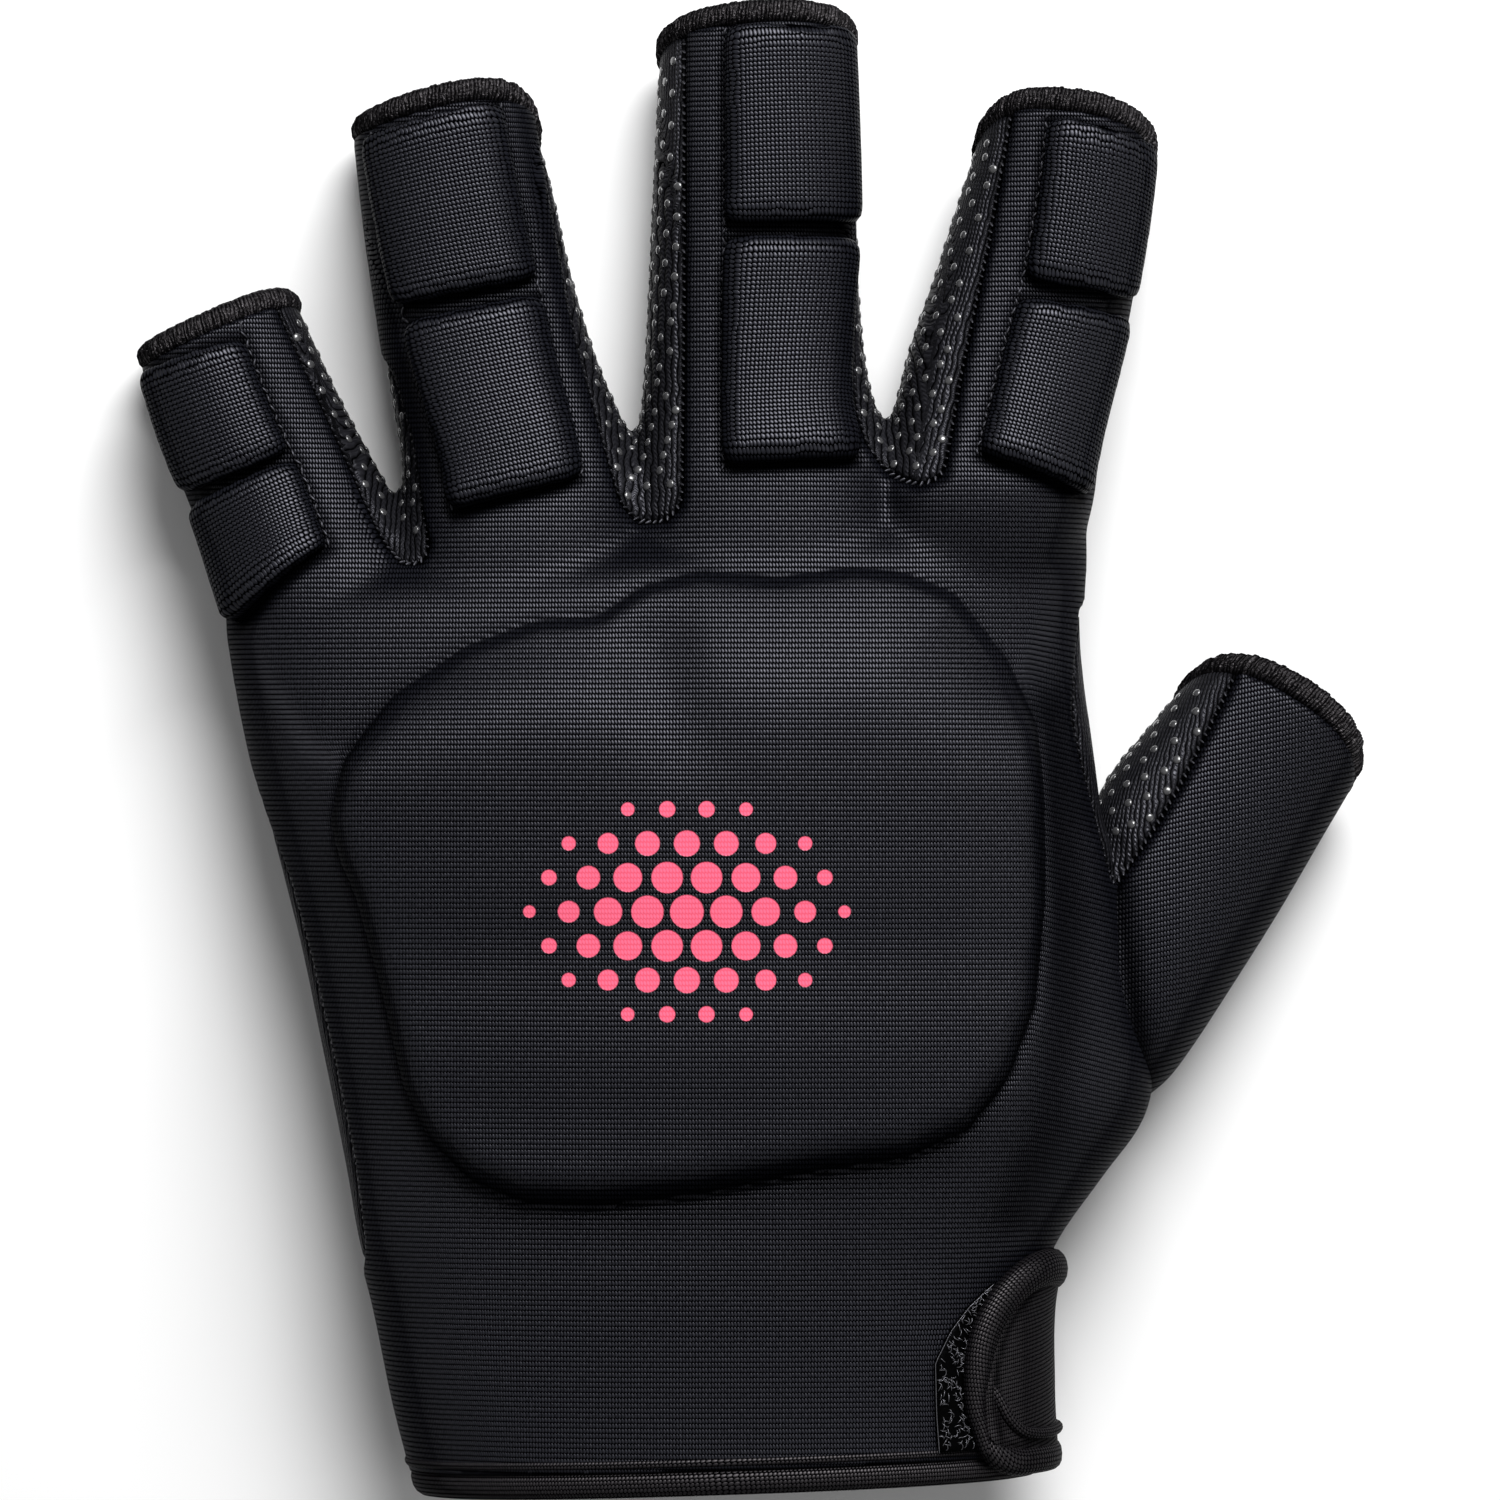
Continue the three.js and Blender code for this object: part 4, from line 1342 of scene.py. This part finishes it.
def stitch_line(tip, base, side):
    """Places beside a finger's pads, from the tube's end to the foot of the lower pad."""
    rows = FINGERS[PAD_TABLE[tip][0]]
    stops = [pad_place(name, side, along) for name in (tip, base) for along in (0, 1)]
    stops[0] = (STITCH_FROM, stops[0][1])
    line = []
    for distance in np.linspace(stops[0][0], stops[-1][0] + 0.4, 60):
        degrees = between(stops, distance)
        place, up = on_back(rows, distance, degrees)
        across = (place_on(rows, distance, degrees + 1) - place_on(rows, distance, degrees - 1))
        off = across.normalized() * (STITCH_OFF if side else -STITCH_OFF)
        line.append((place + off, up))
    return line


def stitching():
    """Zigzag thread beside the finger pads, and the close stitches over the panel seams."""
    draw = random.Random(5)
    heap = Heap()
    for pads_beside in PAD_STITCHES:
        line = stitch_line(*pads_beside)
        for number, (place, up, ahead) in enumerate(even_line(line, ZIGZAG_PITCH)):
            side = up.cross(ahead)
            slant = draw.uniform(0.1, 0.7) * (1 if number % 2 else -1)
            length = draw.uniform(*ZIGZAG_LENGTH)
            bead(heap, place + up * 0.15, up, ahead + side * slant, length, *ZIGZAG_SIZE)
    for line in back_seams + thumb_seams:
        for place, up, ahead in even_line(line, SEAM_PITCH):
            side = up.cross(ahead)
            tilt = draw.uniform(0.2, 0.7)
            bead(heap, place + up * 0.2, up, side + ahead * tilt, *SEAM_SIZE)
    bm = heap.gathered()
    flatten_under(bm)
    return finish(new_object("stitches", bm), "edge_thread")


stitches = stitching()

# Materials

COOL = (0.87, 0.87, 1.0)  # the sheen of the black knit
WARM = (1.0, 0.93, 0.97)  # of the overlock thread and the strap
GLOSS_FADE = (0.06, 0.32)  # from full gloss to the least, on Layer Weight's Facing
GLOSS_LEFT = 0.06  # share of the gloss that is left there
PAINTED_FOLD_LIGHT = 0.12  # share of colour and gloss left in the depth of a fold or seam: painted shade


class Graph:
    """A material's nodes; inputs may be numbers, colours or other nodes' outputs."""

    def __init__(self, name):
        self.material = bpy.data.materials.new(name)
        self.material.use_nodes = True
        self.nodes = self.material.node_tree.nodes
        self.links = self.material.node_tree.links
        self.shader = self.nodes["Principled BSDF"]

    def node(self, kind, inputs=(), **settings):
        made = self.nodes.new(kind)
        for key, value in settings.items():
            setattr(made, key, value)
        for key, value in dict(inputs).items():
            self.put(made.inputs[key], value)
        return made

    def put(self, socket, value):
        if isinstance(value, bpy.types.NodeSocket):
            self.links.new(value, socket)
        elif isinstance(value, tuple) and socket.type == "RGBA":
            socket.default_value = (*value, 1)
        else:
            socket.default_value = value

    def math(self, operation, *values):
        return self.node("ShaderNodeMath", enumerate(values), operation=operation).outputs[0]

    def ramp(self, value, low, high, out_low=0.0, out_high=1.0):
        return self.node("ShaderNodeMapRange", {0: value, 1: low, 2: high, 3: out_low,
                                                4: out_high}).outputs[0]

    def mix(self, factor, a, b):
        return self.node("ShaderNodeMix", {0: factor, 6: a, 7: b},
                         data_type="RGBA").outputs[2]

    def noise(self, vector, scale, detail=2.0):
        return self.node("ShaderNodeTexNoise", {"Vector": vector, "Scale": scale,
                                                "Detail": detail}).outputs[0]

    def fabric_place(self):
        """The knit attribute, its across and along, and the painted shade in folds and seams, as
        the share of light left there.
        """
        place = self.node("ShaderNodeAttribute", attribute_name="knit").outputs["Vector"]
        parts = self.node("ShaderNodeSeparateXYZ", {0: place}).outputs
        return place, parts[0], parts[1], self.ramp(parts[2], 0.0, 1.0, 1.0, PAINTED_FOLD_LIGHT)

    def gloss(self, amount, *shares):
        """Gloss that fades where the cloth turns away, as its yarns hide one another."""
        facing = self.node("ShaderNodeLayerWeight", {"Blend": 0.5}).outputs["Facing"]
        level = self.ramp(facing, *GLOSS_FADE, amount, amount * GLOSS_LEFT)
        for share in shares:
            level = self.math("MULTIPLY", level, share)
        return level

    def finish(self, color, height, depth, roughness, specular=0.3, tint=COOL, coat=0.0):
        """Joins colour, relief (depth in millimetres) and gloss to the shader."""
        bump = self.node("ShaderNodeBump", {"Height": height, "Strength": 1.0,
                                            "Distance": depth * MM})
        self.put(self.shader.inputs["Normal"], bump.outputs[0])
        self.put(self.shader.inputs["Base Color"], color)
        self.put(self.shader.inputs["Roughness"], roughness)
        self.put(self.shader.inputs["Specular IOR Level"], specular)
        self.put(self.shader.inputs["Specular Tint"], tint)
        self.shader.inputs["Coat Weight"].default_value = coat
        return self.material


WALE = 0.41  # width and height of a stitch of the back's knit
COURSE = 0.65
YARN = (0.0078, 0.0082, 0.0115)
# the knit's colour in the gaps between stitches: painted shade
GAP_PAINTED_SHADE = (0.0003, 0.0003, 0.0005)
GLOSS = 0.5
RELIEF = 0.08  # of the stitches, in millimetres
ROUGHNESS = 0.4


def knit_cells(graph, u, v, wale, course, slant=0.35):
    """Height of a jersey knit: a slanted oval for each stitch, 0 in the gaps to 1 on top."""
    across = graph.math("DIVIDE", u, wale)
    x = graph.math("SUBTRACT", graph.math("FRACT", across), 0.5)
    along = graph.math("MULTIPLY_ADD", x, slant, graph.math("DIVIDE", v, course))
    y = graph.math("SUBTRACT", graph.math("FRACT", along), 0.5)
    wide = graph.math("POWER", graph.math("MULTIPLY", x, 1.95), 2.0)
    long = graph.math("POWER", graph.math("MULTIPLY", y, 2.25), 2.0)
    cell = graph.math("SUBTRACT", 1.0, graph.math("ADD", wide, long))
    return graph.math("SQRT", graph.math("MAXIMUM", cell, 0.0))


def knit_cloth(graph, yarn, wale, course):
    """Height of a knit's stitches, its painted shade from folds and seams made a little uneven, and
    its colour, near black in the gaps between stitches as painted shade.
    """
    place, u, v, light = graph.fabric_place()
    cell = knit_cells(graph, u, v, wale, course)
    uneven = graph.ramp(graph.noise(place, 2.2), 0.3, 0.7, 0.7, 1.3)
    tone = graph.math("MULTIPLY", light, uneven)
    # near black in the gaps between stitches: painted shade
    return cell, tone, graph.mix(graph.math("MULTIPLY", cell, tone), GAP_PAINTED_SHADE, yarn)


def knit_material(name, yarn=YARN, roughness=ROUGHNESS, wale=WALE, course=COURSE, tint=COOL):
    graph = Graph(name)
    cell, tone, color = knit_cloth(graph, yarn, wale, course)
    return graph.finish(color, cell, RELIEF, roughness, graph.gloss(GLOSS, cell, tone), tint)


# The print on the back pad: a plain fade of dots, in millimetres
PRINT_MIDDLE = (-8.0, -20.5)
PRINT_STEP = 5.0  # between two dots of a line
PRINT_LINE = PRINT_STEP * math.sqrt(3) / 2  # between two lines
PRINT_REACH = (21.5, 15.5)  # half width and half height
PRINT_RADII = (0.43, 0.12)  # of a dot in the middle and at the rim, as a share of the step
INK = (1.0, 0.155, 0.26)
# the ink in the gaps between stitches, darker: painted shade
INK_GAP_SHADE = (0.75, 0.10, 0.17)


def printed_dots(graph):
    """Share of ink at a place: dots in a honeycomb, smaller away from the middle."""
    where = graph.node("ShaderNodeTexCoord").outputs["Object"]
    parts = graph.node("ShaderNodeSeparateXYZ", {0: where}).outputs
    x = graph.math("DIVIDE", graph.math("SUBTRACT", parts[0], PRINT_MIDDLE[0] * MM),
                   PRINT_STEP * MM)
    y = graph.math("DIVIDE", graph.math("SUBTRACT", parts[1], PRINT_MIDDLE[1] * MM),
                   PRINT_LINE * MM)
    line = graph.math("ROUND", y)
    shift = graph.math("FRACT", graph.math("MULTIPLY", line, 0.5))
    shifted = graph.math("SUBTRACT", x, shift)
    column = graph.math("ROUND", shifted)
    dx = graph.math("SUBTRACT", shifted, column)
    dy = graph.math("MULTIPLY", graph.math("SUBTRACT", y, line), PRINT_LINE / PRINT_STEP)
    off = graph.math("SQRT", graph.math("ADD", graph.math("POWER", dx, 2.0),
                                        graph.math("POWER", dy, 2.0)))
    cx = graph.math("DIVIDE", graph.math("ADD", column, shift), PRINT_REACH[0] / PRINT_STEP)
    cy = graph.math("DIVIDE", line, PRINT_REACH[1] / PRINT_LINE)
    far = graph.math("ADD", graph.math("POWER", cx, 2.0), graph.math("POWER", cy, 2.0))
    radius = graph.ramp(far, 0.0, 1.0, *PRINT_RADII)
    in_dot = graph.ramp(graph.math("SUBTRACT", radius, off), -0.01, 0.02)
    return graph.math("MULTIPLY", in_dot, graph.math("LESS_THAN", far, 1.0))


def printed_knit(name):
    """The back's knit, with the print on the pad."""
    graph = Graph(name)
    cell, tone, cloth = knit_cloth(graph, YARN, WALE, COURSE)
    ink = printed_dots(graph)
    height = graph.math("MULTIPLY", cell, graph.ramp(ink, 0.0, 1.0, 1.0, 0.25))
    # the ink darkens in the gaps between stitches: painted shade
    color = graph.mix(ink, cloth, graph.mix(cell, INK_GAP_SHADE, INK))
    bare = graph.ramp(ink, 0.0, 1.0, 1.0, 0.15)
    return graph.finish(color, height, RELIEF, ROUGHNESS, graph.gloss(GLOSS, cell, tone, bare))


RIB = 0.85  # width of a cord of the grip knit
RIB_STITCH = 0.62  # length of its stitches


def grip_material(name):
    """Ribbed grip knit: cords along the form, each of slanted stitches."""
    graph = Graph(name)
    place, u, v, light = graph.fabric_place()
    uneven = graph.ramp(graph.noise(place, 0.5), 0.3, 0.7, -0.25, 0.25)
    across = graph.math("MULTIPLY_ADD", u, 1 / RIB, uneven)
    x = graph.math("SUBTRACT", graph.math("FRACT", across), 0.5)
    wide = graph.math("POWER", graph.math("MULTIPLY", x, 2.15), 2.0)
    rib = graph.math("SQRT", graph.math("MAXIMUM", graph.math("SUBTRACT", 1.0, wide), 0.0))
    slant = graph.math("MULTIPLY", graph.math("ABSOLUTE", x), 9.0)
    wave = graph.math("SINE", graph.math("MULTIPLY_ADD", v, 2 * math.pi / RIB_STITCH, slant))
    height = graph.math("MULTIPLY", rib, graph.ramp(wave, -1.0, 1.0, 0.72, 1.0))
    # near black between the ribs and dimmed in folds and seams: painted shade
    color = graph.mix(graph.math("MULTIPLY", height, light), (0.0004, 0.0004, 0.0005),
                      (0.014, 0.014, 0.017))
    return graph.finish(color, height, 0.32, 0.42, specular=graph.gloss(0.7, height, light))


def overlock_material(name):
    """Thread laid side by side, slanted over the edge."""
    graph = Graph(name)
    place, u, v, _ = graph.fabric_place()
    turn = graph.math("DIVIDE", u, THREAD_PITCH)
    turn = graph.math("MULTIPLY_ADD", v, THREAD_SLANT / EDGE_LENGTH, turn)
    turn = graph.math("MULTIPLY_ADD", graph.noise(place, 0.9), 1.6, turn)
    wave = graph.math("ABSOLUTE", graph.math("SINE", graph.math("MULTIPLY", turn, math.pi)))
    strand = graph.ramp(graph.noise(place, 3.0, 3.0), 0.35, 0.65, 0.25, 1.0)
    height = graph.math("MULTIPLY", wave, strand)
    # dark between the threads as painted shade, and uneven along them
    color = graph.mix(height, (0.0004, 0.0004, 0.0004), (0.012, 0.011, 0.013))
    return graph.finish(color, height, 0.25, 0.42, graph.gloss(1.3, height), WARM)


def thread_material(name, low, high, gloss, roughness=0.45):
    """Fine thread, with its colour uneven along it."""
    graph = Graph(name)
    where = graph.node("ShaderNodeTexCoord").outputs["Object"]
    strand = graph.noise(where, 2600.0, 3.0)
    color = graph.mix(strand, low, high)
    return graph.finish(color, strand, 0.1, roughness, specular=gloss)


def dot_material(name):
    """Clear, glossy silicone over black."""
    graph = Graph(name)
    where = graph.node("ShaderNodeTexCoord").outputs["Object"]
    uneven = graph.noise(where, 900.0)
    color = graph.mix(uneven, (0.03, 0.03, 0.032), (0.06, 0.06, 0.063))
    return graph.finish(color, uneven, 0.05, 0.25, 0.9, (1.0, 1.0, 1.0), 0.6)


def lining_material(name):
    """The plain inner side of the cloth."""
    graph = Graph(name)
    place, u, v, _ = graph.fabric_place()
    cell = knit_cells(graph, u, v, 0.9, 0.8)
    # dark in the gaps between stitches: painted shade
    color = graph.mix(cell, (0.002, 0.002, 0.002), (0.012, 0.012, 0.013))
    return graph.finish(color, cell, 0.12, 0.7, specular=graph.gloss(0.3, cell))


MATERIALS = {
    "back": printed_knit("printed knit"),
    "knit": knit_material("back knit"),
    "pad": knit_material("pad knit", (0.009, 0.0095, 0.013), 0.36, wale=0.55, course=0.6),
    "grip": grip_material("grip knit"),
    "lining": lining_material("lining"),
    "overlock": overlock_material("overlock thread"),
    "thread": thread_material("sewing thread", (0.002, 0.002, 0.002), (0.025, 0.025, 0.03), 0.6),
    "strap": knit_material("strap tricot", (0.0115, 0.0105, 0.012), 0.45, wale=0.45, course=0.53,
                           tint=WARM),
    "ground": thread_material("pile ground", (0.0002, 0.0002, 0.0002), (0.001, 0.001, 0.001), 0.02),
    "curl": thread_material("pile loops", (0.02, 0.02, 0.022), (0.13, 0.13, 0.14), 1.0, 0.2),
    "dots": dot_material("silicone"),
}
# Each piece with the materials of its outside and of its inside or its loops
WEARS = [(back_panel, "back", "lining"), (thumb_panel, "knit", "lining"),
         (palm_cloth, "grip", "lining"), (thumb_palm_cloth, "grip", "lining"),
         (hem_band, "strap"), (strap_cloth, "strap"), (patch, "ground", "curl"), (dots, "dots"),
         (stitches, "thread")]
WEARS += [(pad, "pad") for pad in pads]
WEARS += [(edge, "overlock") for edge in edges]
for piece, *names in WEARS:
    for key in names:
        piece.data.materials.append(MATERIALS[key])

# Stage, light and camera, in metres

FLOOR_REACH = 2.0
FLOOR_UNDER = 0.0001
FLOOR_COLOR = (0.94, 0.94, 0.94)
WORLD_LIGHT = 0.24
PHOTO_SPAN = 195  # the photo's side, in millimetres on the glove
VIEW_HEIGHT = 12  # height of that plane, in millimetres
LENS = 200
SENSOR = 36


def make_floor():
    bm = bmesh.new()
    bmesh.ops.create_grid(bm, x_segments=1, y_segments=1, size=FLOOR_REACH)
    bmesh.ops.translate(bm, verts=bm.verts, vec=(0, 0, -FLOOR_UNDER))
    floor = new_object("floor", bm)
    graph = Graph("pale floor")
    graph.put(graph.shader.inputs["Base Color"], FLOOR_COLOR)
    graph.put(graph.shader.inputs["Roughness"], 0.8)
    floor.data.materials.append(graph.material)


def make_light(name, place, size, power):
    """A round lamp that points at the middle of the glove."""
    data = bpy.data.lights.new(name, "AREA")
    data.shape = "DISK"
    data.size = size
    data.energy = power
    light = bpy.data.objects.new(name, data)
    bpy.context.scene.collection.objects.link(light)
    light.location = place
    light.rotation_euler = (-Vector(place)).to_track_quat("-Z", "Y").to_euler()


def make_world():
    world = bpy.data.worlds.new("world")
    world.use_nodes = True
    background = world.node_tree.nodes["Background"].inputs
    background["Color"].default_value = (1, 1, 1, 1)
    background["Strength"].default_value = WORLD_LIGHT
    bpy.context.scene.world = world


def make_camera():
    """Straight above the glove, as far off as shows the photo's span."""
    data = bpy.data.cameras.new("camera")
    data.lens = LENS
    data.sensor_width = SENSOR
    data.clip_start = 0.01
    camera = bpy.data.objects.new("camera", data)
    bpy.context.scene.collection.objects.link(camera)
    camera.location = (0, 0, (VIEW_HEIGHT + PHOTO_SPAN * LENS / SENSOR) * MM)
    bpy.context.scene.camera = camera


bpy.context.scene.view_settings.view_transform = "Standard"
make_floor()
make_light("key", (0.2, 0.72, 0.68), size=0.7, power=17.0)
make_light("fill", (0.6, -0.2, 0.6), size=0.6, power=0.5)
make_world()
make_camera()
